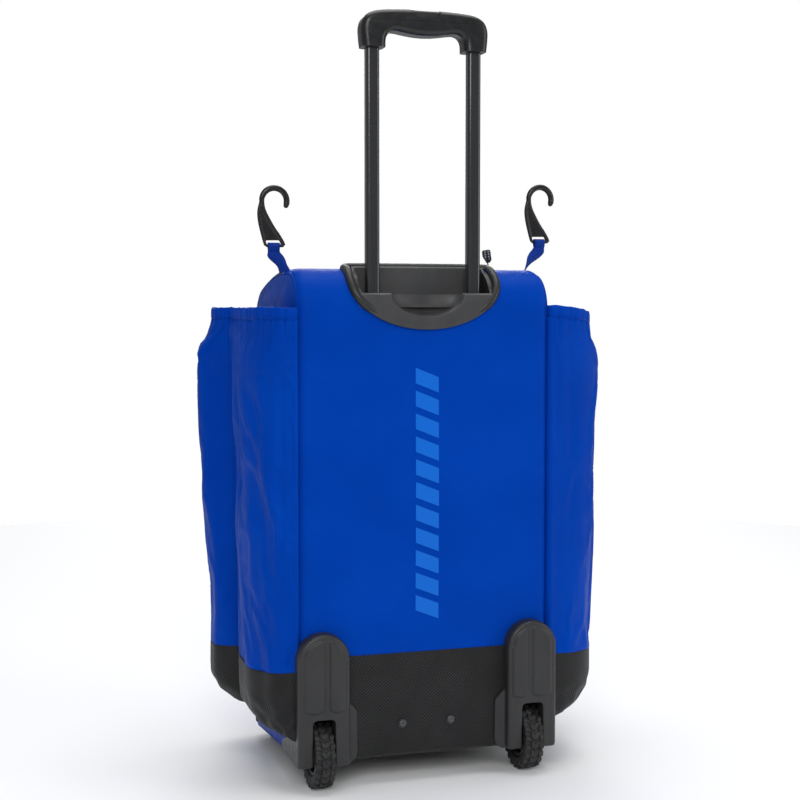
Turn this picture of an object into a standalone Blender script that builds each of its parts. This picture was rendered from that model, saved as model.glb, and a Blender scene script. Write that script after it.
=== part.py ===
"""A wheeled bag for sports equipment, as an assembly of its separate pieces.

Metres, +Z up. The origin is on the floor below the middle of the bag. +X is to the right for someone
behind the bag, on the side of the wheels and the handle, and +Y points to the front of the bag.
"""

import math

import bmesh
import bpy
from mathutils import Vector

# ---------------------------------------------------------------- driving dimensions
GAP = 0.0003                # clearance between pieces that touch
WALL = 0.004                # lined and padded fabric
SIDES = {"left": -1, "right": 1}

# The fabric body
HALF_WIDTH = 0.1925         # outside of the side panels
BACK_Y = -0.150
FRONT_Y = 0.155
TOP_Z = 0.748
BACK_RADIUS = 0.058         # rounding from the back to the top
CROWN_Y = -0.060            # forward of this the top falls away
CROWN_RADIUS = 0.55
BROW_Y = 0.100              # forward of this the top rounds into the front
BASE_BACK_Z = 0.038         # underside of the base, above the wheels
BASE_FRONT_Z = 0.010        # underside of the base, above the front feet
INNER_HALF = HALF_WIDTH - WALL - GAP
LOWER_BACK_TOP_Z = 0.191    # top of the black panel at the foot of the back

# The flap that opens the main compartment, and its zip
ZIP_TOP_Y = -0.0288         # where the zip crosses the top of the bag
CHAIN_WIDTH = 0.0044        # one side of the zip, tape and teeth
CHAIN_THICK = 0.0025
FLAP_FOOT_Z = 0.064
HINGE_Y = 0.153
HINGE_Z = 0.0612
APRON_TOP_Z = 0.0585
SLIDER_X = 0.140            # both zips rest with their sliders near this end
PULL_PIVOT_Z = 0.0064       # above the top of the bag

# The pocket on the flap
POCKET_HALF = 0.155
POCKET_FRONT_Y = 0.1767
POCKET_LOW_Z = 0.130
POCKET_HIGH_Z = 0.500
POCKET_ZIP_Z = 0.456
POCKET_ZIP_HALF = 0.140
POCKET_SLIDER_X = 0.120

# The bat sleeves on the sides: two lobes in plan, (middle y, half length)
LOBES = ((-0.045, 0.1045), (0.090, 0.060))
LOBE_POWER = 2.2
SLEEVE_DEPTH = 0.102
SLEEVE_WALL = 0.0035
HEM_DEPTH = 0.092
SLEEVE_TOP_Z = 0.676
HEM_TOP_Z = 0.690
BOOT_TOP_Z = 0.172
BOOT_LOW_Z = 0.075

# The telescopic handle
TUBE_X = 0.0765
TUBE_Y = -0.130
OUTER_TUBE = (0.024, 0.021)
OUTER_BORE = (0.0212, 0.0182)
INNER_TUBE = (0.020, 0.017)
INNER_BORE = (0.0176, 0.0146)
OUTER_TUBE_Z = (0.050, 0.6915)
INNER_TUBE_Z = (0.622, 1.078)
PLUG_Z = (0.600, 0.640)
PIN_Z = 0.610
PIN_LENGTH = 0.009
PIN_RADIUS = 0.003
ROD_RADIUS = 0.0025
ROD_Z = (0.619, 1.0962)
YOKE_Z = (1.0965, 1.1005)
YOKE_HALF = 0.083
GRIP_HALF = 0.095
GRIP_DEPTH = 0.036
GRIP_TOP_Z = 1.115
GRIP_SPLIT_Z = 1.0985
COLLAR_LOW_Z = 1.060
COLLAR_HALF = 0.0175
SPRING_Z = (1.0845, 1.0962)
BUTTON_HALF = 0.021
BUTTON_DEPTH = 0.0189
BUTTON_TRAVEL = 0.005

# The cup that the grip nests in
CUP_HALF = 0.117
CUP_RIM_Z = 0.731           # below this the rim is half an ellipse
CUP_DROP = 0.071
CUP_THICK = 0.006
CUP_FLOOR_Z = 0.6952
CUP_LIP_Z = 0.711
NEST_HALF = 0.098
NEST_Y = (-0.1533, -0.106)
SCOOP = (0.055, 0.032)

# Wheels and their housings
WHEEL_X = 0.159
WHEEL_Y = -0.132
WHEEL_RADIUS = 0.050
TYRE_WIDTH = 0.030
RIM_RADIUS = 0.031
BEARING_RADIUS = 0.011
AXLE_RADIUS = 0.004
HOUSING_X = (0.120, 0.197)
HOUSING_TOP_Z = 0.230
HOUSING_BACK_Y = -0.172
WELL_X = (0.1425, 0.1755)
WELL_RADIUS = 0.0555
WELL_WALL = 0.003
SLOT_TOP_Z = 0.107
SKID_FRONT_Y = -0.062

# The foot bracket and its two bolts
BOLT_X = 0.037
BOLT_Z = 0.0876
BOLT_RADIUS = 0.003
BOLT_HEAD_RADIUS = 0.0065

# The fence hooks and their straps
STRAP_Y = -0.055
STRAP_FOOT_Z = 0.7515
STRAP_PIVOT_Z = 0.7500
STRAP_WIDTH = 0.024
STRAP_THICK = 0.004
HOOK_BAR = {"left": (-0.200, 0.7815), "right": (0.216, 0.7925)}
HOOK_ROD_RADIUS = 0.0046
HOOK_CURL_RADIUS = 0.0185
HOOK_CURL = (-0.0025, 0.065)

ROUND = 32                  # sides of a round piece

# ---------------------------------------------------------------- colours
BLUE = ("Royal blue fabric", (0.004, 0.045, 0.39), 0.55, 0.0)
WOVEN = ("Black ballistic weave", (0.020, 0.020, 0.022), 0.75, 0.0)
LINING = ("Grey lining board", (0.10, 0.10, 0.11), 0.8, 0.0)
PLASTIC = ("Black moulded plastic", (0.030, 0.031, 0.034), 0.45, 0.0)
GLOSS = ("Gloss black enamel", (0.012, 0.012, 0.013), 0.16, 0.3)
RUBBER = ("Black tyre rubber", (0.015, 0.015, 0.016), 0.8, 0.0)
STEEL = ("Bright steel", (0.55, 0.55, 0.56), 0.3, 1.0)
ALLOY = ("Drawn aluminium", (0.70, 0.71, 0.72), 0.35, 1.0)
ZIP = ("Black zip", (0.016, 0.016, 0.018), 0.5, 0.0)

# How a flat outline, drawn in its own X and Y, is turned to face along a world axis
FACING = {"x": (math.pi / 2, 0, math.pi / 2), "y": (math.pi / 2, 0, 0), "z": (0, 0, 0)}


# ---------------------------------------------------------------- scene and helpers
def clear_scene():
    for obj in list(bpy.data.objects):
        bpy.data.objects.remove(obj, do_unlink=True)


def new_collection(name, hidden=False):
    collection = bpy.data.collections.new(name)
    bpy.context.scene.collection.children.link(collection)
    collection.hide_render = hidden
    return collection


def material(look):
    name, colour, roughness, metallic = look
    found = bpy.data.materials.get(name)
    if found:
        return found
    made = bpy.data.materials.new(name)
    made.use_nodes = True
    shader = made.node_tree.nodes["Principled BSDF"]
    shader.inputs["Base Color"].default_value = (*colour, 1.0)
    shader.inputs["Roughness"].default_value = roughness
    shader.inputs["Metallic"].default_value = metallic
    made.diffuse_color = (*colour, 1.0)
    return made


def pivot(name, location, parent=None):
    """An empty on a joint's axis, which carries the pieces that turn or slide there."""
    empty = bpy.data.objects.new(name, None)
    empty.empty_display_size = 0.02
    BAG.objects.link(empty)
    return placed(empty, location, parent)


def world_of(obj):
    """Where an unturned chain of empties puts this one."""
    return obj.location + (world_of(obj.parent) if obj.parent else Vector((0, 0, 0)))


def placed(obj, location, parent=None, rotation=(0, 0, 0)):
    obj.rotation_euler = rotation
    obj.location = Vector(location) - (world_of(parent) if parent else Vector((0, 0, 0)))
    obj.parent = parent
    return obj


def add(name, data, look, location, rotation=(0, 0, 0), parent=None):
    """A piece of the bag or, with no look, a cutter."""
    obj = bpy.data.objects.new(name, data)
    (BAG if look else CUTTERS).objects.link(obj)
    if look:
        data.materials.append(material(look))
    else:
        obj.hide_render = True
        obj.display_type = "WIRE"
    return placed(obj, location, parent, rotation)


def bmesh_data(name, build):
    bm = bmesh.new()
    build(bm)
    bmesh.ops.recalc_face_normals(bm, faces=bm.faces)
    data = bpy.data.meshes.new(name)
    bm.to_mesh(data)
    bm.free()
    return data


def box(name, low, high, look=None, parent=None, bevel=0.0):
    """A block between two corners."""
    size = Vector(high) - Vector(low)

    def build(bm):
        bmesh.ops.create_cube(bm, size=1.0)
        bmesh.ops.scale(bm, vec=size, verts=bm.verts)

    middle = (Vector(high) + Vector(low)) / 2
    obj = add(name, bmesh_data(name, build), look, middle, parent=parent)
    if bevel:
        rounded(obj, bevel)
    return obj


def rounded(obj, width, segments=1):
    bevel = obj.modifiers.new("Rounded edges", "BEVEL")
    bevel.width = width
    bevel.segments = segments
    bevel.limit_method = "ANGLE"
    bevel.angle_limit = math.radians(40)
    return obj


def rod(name, radius, length, middle, axis, look=None, parent=None, sides=ROUND):
    """A solid cylinder along a world axis."""

    def build(bm):
        bmesh.ops.create_cone(
            bm, cap_ends=True, segments=sides, radius1=radius, radius2=radius, depth=length
        )

    turn = {"x": (0, math.pi / 2, 0), "y": (math.pi / 2, 0, 0), "z": (0, 0, 0)}[axis]
    obj = add(name, bmesh_data(name, build), look, middle, turn, parent)
    obj.data.shade_smooth()
    obj.data.set_sharp_from_angle(angle=math.radians(40))
    return obj


def turned(name, profile, middle, look, parent=None):
    """A ring about X. The profile is a closed loop of (radius, x), down its outer side first."""
    count = len(profile)
    data = bpy.data.meshes.new(name)
    data.from_pydata(
        [(radius, 0, x) for radius, x in profile], [(i, (i + 1) % count) for i in range(count)], []
    )
    obj = add(name, data, look, middle, (0, math.pi / 2, 0), parent)
    screw = obj.modifiers.new("Turned", "SCREW")
    screw.steps = ROUND
    screw.render_steps = ROUND
    screw.use_merge_vertices = True
    screw.merge_threshold = 0.0001
    return obj


def flat_curve(name, outlines, cyclic):
    data = bpy.data.curves.new(name, "CURVE")
    data.dimensions = "2D"
    for outline in outlines:
        spline = data.splines.new("POLY")
        spline.points.add(len(outline) - 1)
        for point, (across, up) in zip(spline.points, outline):
            point.co = (across, up, 0, 1)
        spline.use_cyclic_u = cyclic
    return data


def plate(name, outlines, facing, span, look=None, parent=None):
    """A flat outline, with holes if more than one is given, thick between span[0] and span[1]."""
    data = flat_curve(name, outlines, True)
    data.fill_mode = "BOTH"
    data.extrude = (span[1] - span[0]) / 2
    middle = [0, 0, 0]
    middle["xyz".index(facing)] = (span[0] + span[1]) / 2
    return add(name, data, look, middle, FACING[facing], parent)


def ribbon(name, path, facing, span, thickness, look=None, parent=None):
    """A sheet bent along a path and as wide as span, thickened to the right of the path."""
    data = flat_curve(name, [path], False)
    data.fill_mode = "NONE"
    data.extrude = (span[1] - span[0]) / 2
    middle = [0, 0, 0]
    middle["xyz".index(facing)] = (span[0] + span[1]) / 2
    obj = add(name, data, look, middle, FACING[facing], parent)
    solidify = obj.modifiers.new("Thickness", "SOLIDIFY")
    solidify.thickness = thickness
    solidify.offset = -1.0
    solidify.use_even_offset = True
    return obj


def as_mesh(obj):
    """The same piece as a closed mesh, for a Boolean."""
    graph = bpy.context.evaluated_depsgraph_get()
    data = bpy.data.meshes.new_from_object(obj.evaluated_get(graph))
    bm = bmesh.new()
    bm.from_mesh(data)
    bmesh.ops.remove_doubles(bm, verts=bm.verts, dist=1e-6)
    bmesh.ops.recalc_face_normals(bm, faces=bm.faces)
    bm.to_mesh(data)
    bm.free()
    name = obj.name
    matrix = obj.matrix_world.copy()
    parent = obj.parent
    group = obj.users_collection[0]
    hidden = obj.hide_render
    bpy.data.objects.remove(obj, do_unlink=True)
    solid = bpy.data.objects.new(name, data)
    group.objects.link(solid)
    solid.parent = parent
    solid.matrix_world = matrix
    solid.hide_render = hidden
    if hidden:
        solid.display_type = "WIRE"
    return solid


def boolean(obj, operation, others):
    for other in others:
        modifier = obj.modifiers.new(f"{operation.title()} {other.name}", "BOOLEAN")
        modifier.operation = operation
        modifier.object = other
    return obj


def cut(obj, *cutters):
    return boolean(obj, "DIFFERENCE", cutters)


def join(obj, *others):
    """Union with helper shapes, which are hidden like cutters."""
    return boolean(obj, "UNION", others)


def keep_inside(obj, *others):
    return boolean(obj, "INTERSECT", others)


# ---------------------------------------------------------------- outlines
def arc(centre, radius, start, stop, steps):
    """Points of a circle between two angles, in degrees."""
    angles = [math.radians(start + (stop - start) * i / steps) for i in range(steps + 1)]
    return [(centre[0] + radius * math.cos(a), centre[1] + radius * math.sin(a)) for a in angles]


def base_z(y):
    """The underside of the base, which slopes down to the front."""
    return BASE_BACK_Z + (BASE_FRONT_Z - BASE_BACK_Z) * (y - BACK_Y) / (FRONT_Y - BACK_Y)


def crown_z(y):
    return TOP_Z - max(0.0, y - CROWN_Y) ** 2 / (2 * CROWN_RADIUS)


def shoulder(offset=0.0):
    """The rounding from the back up to the top, as (y, z)."""
    return arc((BACK_Y + BACK_RADIUS, TOP_Z - BACK_RADIUS), BACK_RADIUS + offset, 180, 90, 8)


def crown(start, stop, steps=6):
    ys = [start + (stop - start) * i / steps for i in range(steps + 1)]
    return [(y, crown_z(y)) for y in ys]


def brow():
    """The rounding from the top down to the front, tangent to both."""
    fall = math.atan((BROW_Y - CROWN_Y) / CROWN_RADIUS)
    radius = (FRONT_Y - BROW_Y) / (1 - math.sin(fall))
    centre = (FRONT_Y - radius, crown_z(BROW_Y) - radius * math.cos(fall))
    return arc(centre, radius, 90 - math.degrees(fall), 0, 7)[1:]


def front_path(start_y, foot_z):
    """From a line across the top, over the brow and down the front, as (y, z)."""
    return crown(start_y, BROW_Y) + brow() + [(FRONT_Y, foot_z)]


def sleeve_path(side, depth):
    """The plan of the bat sleeves from back to front, as (x, y)."""
    low = LOBES[0][0] - LOBES[0][1]
    high = LOBES[1][0] + LOBES[1][1]
    steps = 24
    path = []
    for i in range(steps + 1):
        y = (low + high) / 2 - (high - low) / 2 * math.cos(math.pi * i / steps)
        out = max(lobe(y, *shape) for shape in LOBES)
        path.append((side * (HALF_WIDTH + 2 * GAP + depth * out), y))
    return path


def lobe(y, middle, half):
    """How far a sleeve stands out at y, from 0 to 1."""
    along = min(1.0, abs(y - middle) / half)
    return (1 - along**LOBE_POWER) ** (1 / LOBE_POWER)


def rounded_rectangle(middle, size, radius, steps=3):
    half = (size[0] / 2 - radius, size[1] / 2 - radius)
    corners = ((1, 1, 0), (-1, 1, 90), (-1, -1, 180), (1, -1, 270))
    points = []
    for across, up, start in corners:
        centre = (middle[0] + across * half[0], middle[1] + up * half[1])
        points += arc(centre, radius, start, start + 90, steps)
    return points


# ---------------------------------------------------------------- fabric body
def back_and_top():
    """The blue panel up the back and over to the zip, with the hole that the handle cup fills."""
    path = [(BACK_Y, LOWER_BACK_TOP_Z + GAP)] + shoulder()
    path += crown(CROWN_Y, ZIP_TOP_Y - CHAIN_WIDTH - GAP, 2)
    panel = as_mesh(ribbon("spine_panel", path, "x", (-INNER_HALF, INNER_HALF), WALL, BLUE))
    half = NEST_HALF + WELL_WALL + GAP
    hole = box("cup_hole", (-half, BACK_Y - 0.02, 0.682), (half, -0.096, TOP_Z + 0.02))
    return cut(panel, hole)


def lower_back():
    """The black panel between and behind the wheel housings."""
    panel = box(
        "lower_back_panel",
        (-INNER_HALF, BACK_Y, BASE_BACK_Z + 0.001),
        (INNER_HALF, BACK_Y + WALL, LOWER_BACK_TOP_Z),
        WOVEN,
    )
    inner = WELL_X[0] - 2 * WELL_WALL
    for side, sign in SIDES.items():
        passage = box(
            f"wheel_passage_{side}",
            (min(sign * inner, sign * 0.2), BACK_Y - 0.01, 0.0),
            (max(sign * inner, sign * 0.2), BACK_Y + 0.01, 0.118),
        )
        hole = rod(f"bolt_hole_{side}", BOLT_RADIUS + GAP, 0.03, (sign * BOLT_X, BACK_Y, BOLT_Z), "y")
        cut(panel, passage, hole)
    return panel


def side_panels():
    outline = [(BACK_Y, base_z(BACK_Y))] + shoulder() + front_path(CROWN_Y, base_z(FRONT_Y))
    for side, sign in SIDES.items():
        span = sorted((sign * HALF_WIDTH, sign * (HALF_WIDTH - WALL)))
        plate(f"side_panel_{side}", [outline], "x", span, BLUE)


def base():
    """The stiff base, notched round the wheel wells."""
    ends = (BACK_Y + WALL + 2 * GAP, FRONT_Y - WALL - 3 * GAP)
    path = [(y, base_z(y)) for y in reversed(ends)]
    panel = as_mesh(ribbon("base_panel", path, "x", (-INNER_HALF, INNER_HALF), WALL, WOVEN))
    inner = WELL_X[0] - 2 * WELL_WALL
    front = WHEEL_Y + WELL_RADIUS + 2 * WELL_WALL
    for side, sign in SIDES.items():
        xs = sorted((sign * inner, sign * 0.2))
        cut(panel, box(f"well_notch_{side}", (xs[0], -0.2, 0.0), (xs[1], front, 0.08)))
    return panel


def front_apron():
    """The strip at the foot of the front, which the flap hinges from."""
    low = base_z(FRONT_Y)
    box("front_apron", (-INNER_HALF, FRONT_Y - WALL, low), (INNER_HALF, FRONT_Y, APRON_TOP_Z), WOVEN)


def back_board():
    """The board that closes off the handle tubes from the main compartment."""
    rear = TUBE_Y + OUTER_TUBE[1] / 2 + 0.003
    box("back_board", (-0.125, rear, 0.102), (0.125, rear + 0.003, 0.660), LINING)


def front_feet():
    low, high = 0.105, 0.148
    outline = [(low, 0.0), (high, 0.0), (high, base_z(high) - GAP), (low, base_z(low) - GAP)]
    for side, sign in SIDES.items():
        span = sorted((sign * 0.130, sign * 0.170))
        plate(f"front_foot_{side}", [outline], "x", span, RUBBER)


# ---------------------------------------------------------------- flap, pocket and zips
def zip_band(name, start_y, half, foot_z, parent):
    """One side of the main zip: across the top and down both edges of the flap."""
    path = front_path(start_y, foot_z)
    band = as_mesh(ribbon(name, path, "x", (-half, half), CHAIN_THICK, ZIP, parent))
    inner = half - CHAIN_WIDTH
    inside = box(
        f"{name}_inside", (-inner, start_y + CHAIN_WIDTH, 0.0), (inner, FRONT_Y + 0.1, TOP_Z + 0.1)
    )
    return cut(band, inside)


def flap(hinge):
    """The front half of the top and the whole front, in one panel."""
    half = INNER_HALF - 2 * (CHAIN_WIDTH + GAP)
    start = ZIP_TOP_Y + CHAIN_WIDTH + 2 * GAP
    path = front_path(start, FLAP_FOOT_Z)
    ribbon("front_flap", path, "x", (-half, half), WALL, BLUE, hinge)
    zip_band("zip_chain_frame", ZIP_TOP_Y - CHAIN_WIDTH, INNER_HALF, FLAP_FOOT_Z, None)
    zip_band("zip_chain_flap", ZIP_TOP_Y + GAP, half + CHAIN_WIDTH + GAP, FLAP_FOOT_Z, hinge)


def front_pocket(hinge):
    """A flat pocket, open at the back where the flap closes it, with a zip across it."""
    pocket = box(
        "front_pocket",
        (-POCKET_HALF, FRONT_Y + GAP, POCKET_LOW_Z),
        (POCKET_HALF, POCKET_FRONT_Y, POCKET_HIGH_Z),
        BLUE,
        hinge,
    )
    wall = SLEEVE_WALL
    hollow = box(
        "pocket_hollow",
        (-POCKET_HALF + wall, FRONT_Y - 0.01, POCKET_LOW_Z + wall),
        (POCKET_HALF - wall, POCKET_FRONT_Y - wall, POCKET_HIGH_Z - wall),
    )
    slit = box(
        "pocket_slit",
        (-POCKET_ZIP_HALF - GAP, FRONT_Y, POCKET_ZIP_Z - CHAIN_WIDTH - GAP),
        (POCKET_ZIP_HALF + GAP, POCKET_FRONT_Y + 0.01, POCKET_ZIP_Z + CHAIN_WIDTH + GAP),
    )
    cut(pocket, hollow, slit)
    box(
        "pocket_zip_chain",
        (-POCKET_ZIP_HALF, POCKET_FRONT_Y - CHAIN_THICK, POCKET_ZIP_Z - CHAIN_WIDTH),
        (POCKET_ZIP_HALF, POCKET_FRONT_Y, POCKET_ZIP_Z + CHAIN_WIDTH),
        ZIP,
        hinge,
    )


def main_slider(hinge):
    """The slider on the top of the bag and the tag that stands on it."""
    foot = crown_z(ZIP_TOP_Y)
    track = pivot("main_slider_track", (SLIDER_X, ZIP_TOP_Y, foot), hinge)
    slider_half = (0.006, 0.004)
    box(
        "main_zip_slider",
        (SLIDER_X - slider_half[0], ZIP_TOP_Y - slider_half[1], foot + GAP * 2),
        (SLIDER_X + slider_half[0], ZIP_TOP_Y + slider_half[1], foot + 0.0045),
        ZIP,
        track,
        bevel=0.001,
    )
    height = foot + PULL_PIVOT_Z
    swing = pivot("main_pull_pivot", (SLIDER_X, ZIP_TOP_Y, height), track)
    neck = arc((SLIDER_X, height), 0.0016, 180, 360, 6)
    tag = [(0.0016, 0.008), (0.007, 0.009), (0.007, 0.027)]
    tag += [(-across, up) for across, up in reversed(tag)]
    outline = neck + [(SLIDER_X + across, height + up) for across, up in tag]
    plate("main_zip_pull", [outline], "y", (ZIP_TOP_Y - 0.0013, ZIP_TOP_Y + 0.0013), RUBBER, swing)


def pocket_slider(hinge):
    """The slider of the pocket's zip, with a pull that hangs down."""
    face = POCKET_FRONT_Y
    track = pivot("pocket_slider_track", (POCKET_SLIDER_X, face, POCKET_ZIP_Z), hinge)
    box(
        "pocket_zip_slider",
        (POCKET_SLIDER_X - 0.005, face + GAP, POCKET_ZIP_Z - 0.004),
        (POCKET_SLIDER_X + 0.005, face + 0.0040, POCKET_ZIP_Z + 0.004),
        ZIP,
        track,
        bevel=0.001,
    )
    height = POCKET_ZIP_Z - 0.0062
    out = face + 0.0040
    swing = pivot("pocket_pull_pivot", (POCKET_SLIDER_X, out, height), track)
    box(
        "pocket_zip_pull",
        (POCKET_SLIDER_X - 0.0035, out - 0.0013, height - 0.026),
        (POCKET_SLIDER_X + 0.0035, out + 0.0013, height + 0.0014),
        RUBBER,
        swing,
    )


# ---------------------------------------------------------------- bat sleeves
def sleeves():
    """On each side: the boot at the foot, the blue sleeve over it and the elastic hem at its mouth."""
    for side, sign in SIDES.items():
        thick = SLEEVE_WALL * sign
        path = sleeve_path(sign, SLEEVE_DEPTH)
        sleeve = ribbon(f"bat_pocket_{side}", path, "z", (BOOT_TOP_Z + GAP, SLEEVE_TOP_Z), -thick, BLUE)
        sleeve = as_mesh(sleeve)
        path = sleeve_path(sign, HEM_DEPTH)
        ribbon(f"pocket_hem_{side}", path, "z", (SLEEVE_TOP_Z + GAP, HEM_TOP_Z), -thick, BLUE)
        outer = sleeve_path(sign, SLEEVE_DEPTH)
        boot = as_mesh(plate(f"pocket_boot_{side}", [outer], "z", (BOOT_LOW_Z, BOOT_TOP_Z), WOVEN))
        inner = [(x + (-thick if abs(x) > 0.2 else 0), y) for x, y in sleeve_path(sign, SLEEVE_DEPTH)]
        inner = [(x, y * 0.97) for x, y in inner]
        hollow = as_mesh(
            plate(f"boot_hollow_{side}", [inner], "z", (BOOT_LOW_Z + SLEEVE_WALL, BOOT_TOP_Z + 0.02))
        )
        open_side = box(
            f"boot_open_{side}",
            (min(sign * 0.18, sign * 0.2), -0.1435, BOOT_LOW_Z + SLEEVE_WALL),
            (max(sign * 0.18, sign * 0.2), 0.1435, BOOT_TOP_Z + 0.02),
        )
        xs = sorted((sign * 0.18, sign * (HOUSING_X[1] + GAP)))
        housing_room = box(
            f"housing_room_{side}",
            (xs[0], -0.18, 0.0),
            (xs[1], SKID_FRONT_Y + GAP, HOUSING_TOP_Z + GAP),
        )
        cut(boot, hollow, open_side, housing_room)
        cut(sleeve, housing_room)


# ---------------------------------------------------------------- telescopic handle
def handle_cup():
    """The moulded cup over the top of the back, with a nest for the grip and a scoop for the fingers."""
    path = [(BACK_Y - GAP, 0.655)] + shoulder(GAP) + [(-0.086, TOP_Z + GAP)]
    cup = as_mesh(ribbon("handle_cup", path, "x", (-CUP_HALF, CUP_HALF), -CUP_THICK, PLASTIC))
    rim = arc((0, 0), 1.0, 180, 360, 20)
    rim = [(CUP_HALF * x, CUP_RIM_Z + CUP_DROP * z) for x, z in rim]
    rim += [(CUP_HALF, 0.80), (-CUP_HALF, 0.80)]
    keep_inside(cup, as_mesh(plate("cup_outline", [rim], "y", (-0.2, -0.05))))
    half = NEST_HALF + WELL_WALL
    tub = box("cup_tub", (-half, -0.1540, CUP_FLOOR_Z - 0.003), (half, NEST_Y[1] + WELL_WALL, TOP_Z))
    join(cup, tub)
    nest = box("cup_nest", (-NEST_HALF, NEST_Y[0], CUP_FLOOR_Z), (NEST_HALF, NEST_Y[1], 0.78))
    mouth = box("cup_mouth", (-0.095, -0.18, CUP_LIP_Z), (0.095, NEST_Y[0] + 0.005, 0.78))
    scoop = [(SCOOP[0] * x, CUP_LIP_Z + SCOOP[1] * z) for x, z in arc((0, 0), 1.0, 180, 360, 14)]
    scoop += [(SCOOP[0], CUP_LIP_Z + 0.01), (-SCOOP[0], CUP_LIP_Z + 0.01)]
    cut(cup, nest, mouth, as_mesh(plate("cup_scoop", [scoop], "y", (-0.18, -0.1527))))
    for side, sign in SIDES.items():
        hole = rounded_rectangle((sign * TUBE_X, TUBE_Y), [d + 2 * GAP for d in INNER_TUBE], 0.004)
        cut(cup, as_mesh(plate(f"cup_tube_hole_{side}", [hole], "z", (0.68, 0.71))))
    return cup


def tube(name, x, outer, bore, span, look, parent=None):
    outlines = [
        rounded_rectangle((x, TUBE_Y), outer, 0.004),
        rounded_rectangle((x, TUBE_Y), bore, 0.003),
    ]
    return plate(name, outlines, "z", span, look, parent)


def fixed_tubes():
    """The two outer tubes, and the bracket that bolts their feet to the back panel."""
    bracket = box(
        "foot_bracket",
        (-0.100, BACK_Y + WALL + GAP, BASE_BACK_Z + WALL + 0.003),
        (0.100, TUBE_Y + OUTER_TUBE[1] / 2 + 0.004, 0.100),
        PLASTIC,
    )
    for side, sign in SIDES.items():
        x = sign * TUBE_X
        tube(f"outer_tube_{side}", x, OUTER_TUBE, OUTER_BORE, OUTER_TUBE_Z, ALLOY)
        socket = rounded_rectangle((x, TUBE_Y), [d + 2 * GAP for d in OUTER_TUBE], 0.004)
        span = (OUTER_TUBE_Z[0] - GAP, 0.11)
        cut(bracket, as_mesh(plate(f"tube_socket_{side}", [socket], "z", span)))
        bolt(side, sign, bracket)


def bolt(side, sign, bracket):
    """A round-headed bolt through the back panel into the bracket."""
    x = sign * BOLT_X
    head_y = BACK_Y - GAP
    tip_y = -0.128
    hole = rod(f"bracket_hole_{side}", BOLT_RADIUS + GAP, 0.03, (x, tip_y + GAP - 0.015, BOLT_Z), "y")
    cut(bracket, hole)
    head = rod(
        f"bracket_bolt_{side}", BOLT_HEAD_RADIUS, 0.0032, (x, head_y - 0.0016, BOLT_Z), "y", STEEL, sides=20
    )
    length = tip_y - head_y + 0.002
    shank = rod(f"bolt_shank_{side}", BOLT_RADIUS, length, (x, tip_y - length / 2, BOLT_Z), "y", sides=20)
    join(head, shank)


def moving_tubes(slide):
    """The inner tubes with the plug, pin and rod of each lock."""
    for side, sign in SIDES.items():
        x = sign * TUBE_X
        tube(f"inner_tube_{side}", x, INNER_TUBE, INNER_BORE, INNER_TUBE_Z, GLOSS, slide)
        plug_of(side, sign, x, slide)


def plug_of(side, sign, x, slide):
    """The plug in the foot of an inner tube, bored for the lock pin and for the rod that draws it in."""
    core = [d - 2 * GAP for d in INNER_BORE]
    outline = rounded_rectangle((x, TUBE_Y), core, 0.003)
    plug = as_mesh(plate(f"tube_plug_{side}", [outline], "z", PLUG_Z, PLASTIC, slide))
    collar = rounded_rectangle((x, TUBE_Y), INNER_TUBE, 0.004)
    foot = plate(f"plug_collar_{side}", [collar], "z", (PLUG_Z[0], INNER_TUBE_Z[0] - GAP))
    join(plug, as_mesh(foot))
    outer_x = x + sign * INNER_TUBE[0] / 2
    depth = PIN_LENGTH + 0.0035
    pin_bore = rod(
        f"pin_bore_{side}", PIN_RADIUS + GAP, depth * 2, (outer_x, TUBE_Y, PIN_Z), "x", sides=16
    )
    rod_bore = rod(f"rod_bore_{side}", ROD_RADIUS + GAP, 0.05, (x, TUBE_Y, PIN_Z + 0.027), "z", sides=16)
    cut(plug, pin_bore, rod_bore)
    track = pivot(f"lock_pin_track_{side}", (x, TUBE_Y, PIN_Z), slide)
    middle = (outer_x - sign * PIN_LENGTH / 2, TUBE_Y, PIN_Z)
    rod(f"lock_pin_{side}", PIN_RADIUS, PIN_LENGTH, middle, "x", STEEL, track, sides=16)


def grip_outline():
    """Front view of the grip: a crowned bar with a collar at each end, as (x, z)."""
    half = [(0.0, GRIP_TOP_Z), (0.045, GRIP_TOP_Z - 0.0006), (0.070, GRIP_TOP_Z - 0.0026)]
    half += arc((GRIP_HALF - 0.016, GRIP_TOP_Z - 0.0205), 0.016, 75, 0, 5)
    half += [(TUBE_X + COLLAR_HALF, COLLAR_LOW_Z), (TUBE_X - COLLAR_HALF, COLLAR_LOW_Z)]
    half += [(TUBE_X - COLLAR_HALF, 1.077), (0.050, 1.0825), (0.025, 1.0808)]
    return half + [(-x, z) for x, z in reversed(half[1:])]


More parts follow.
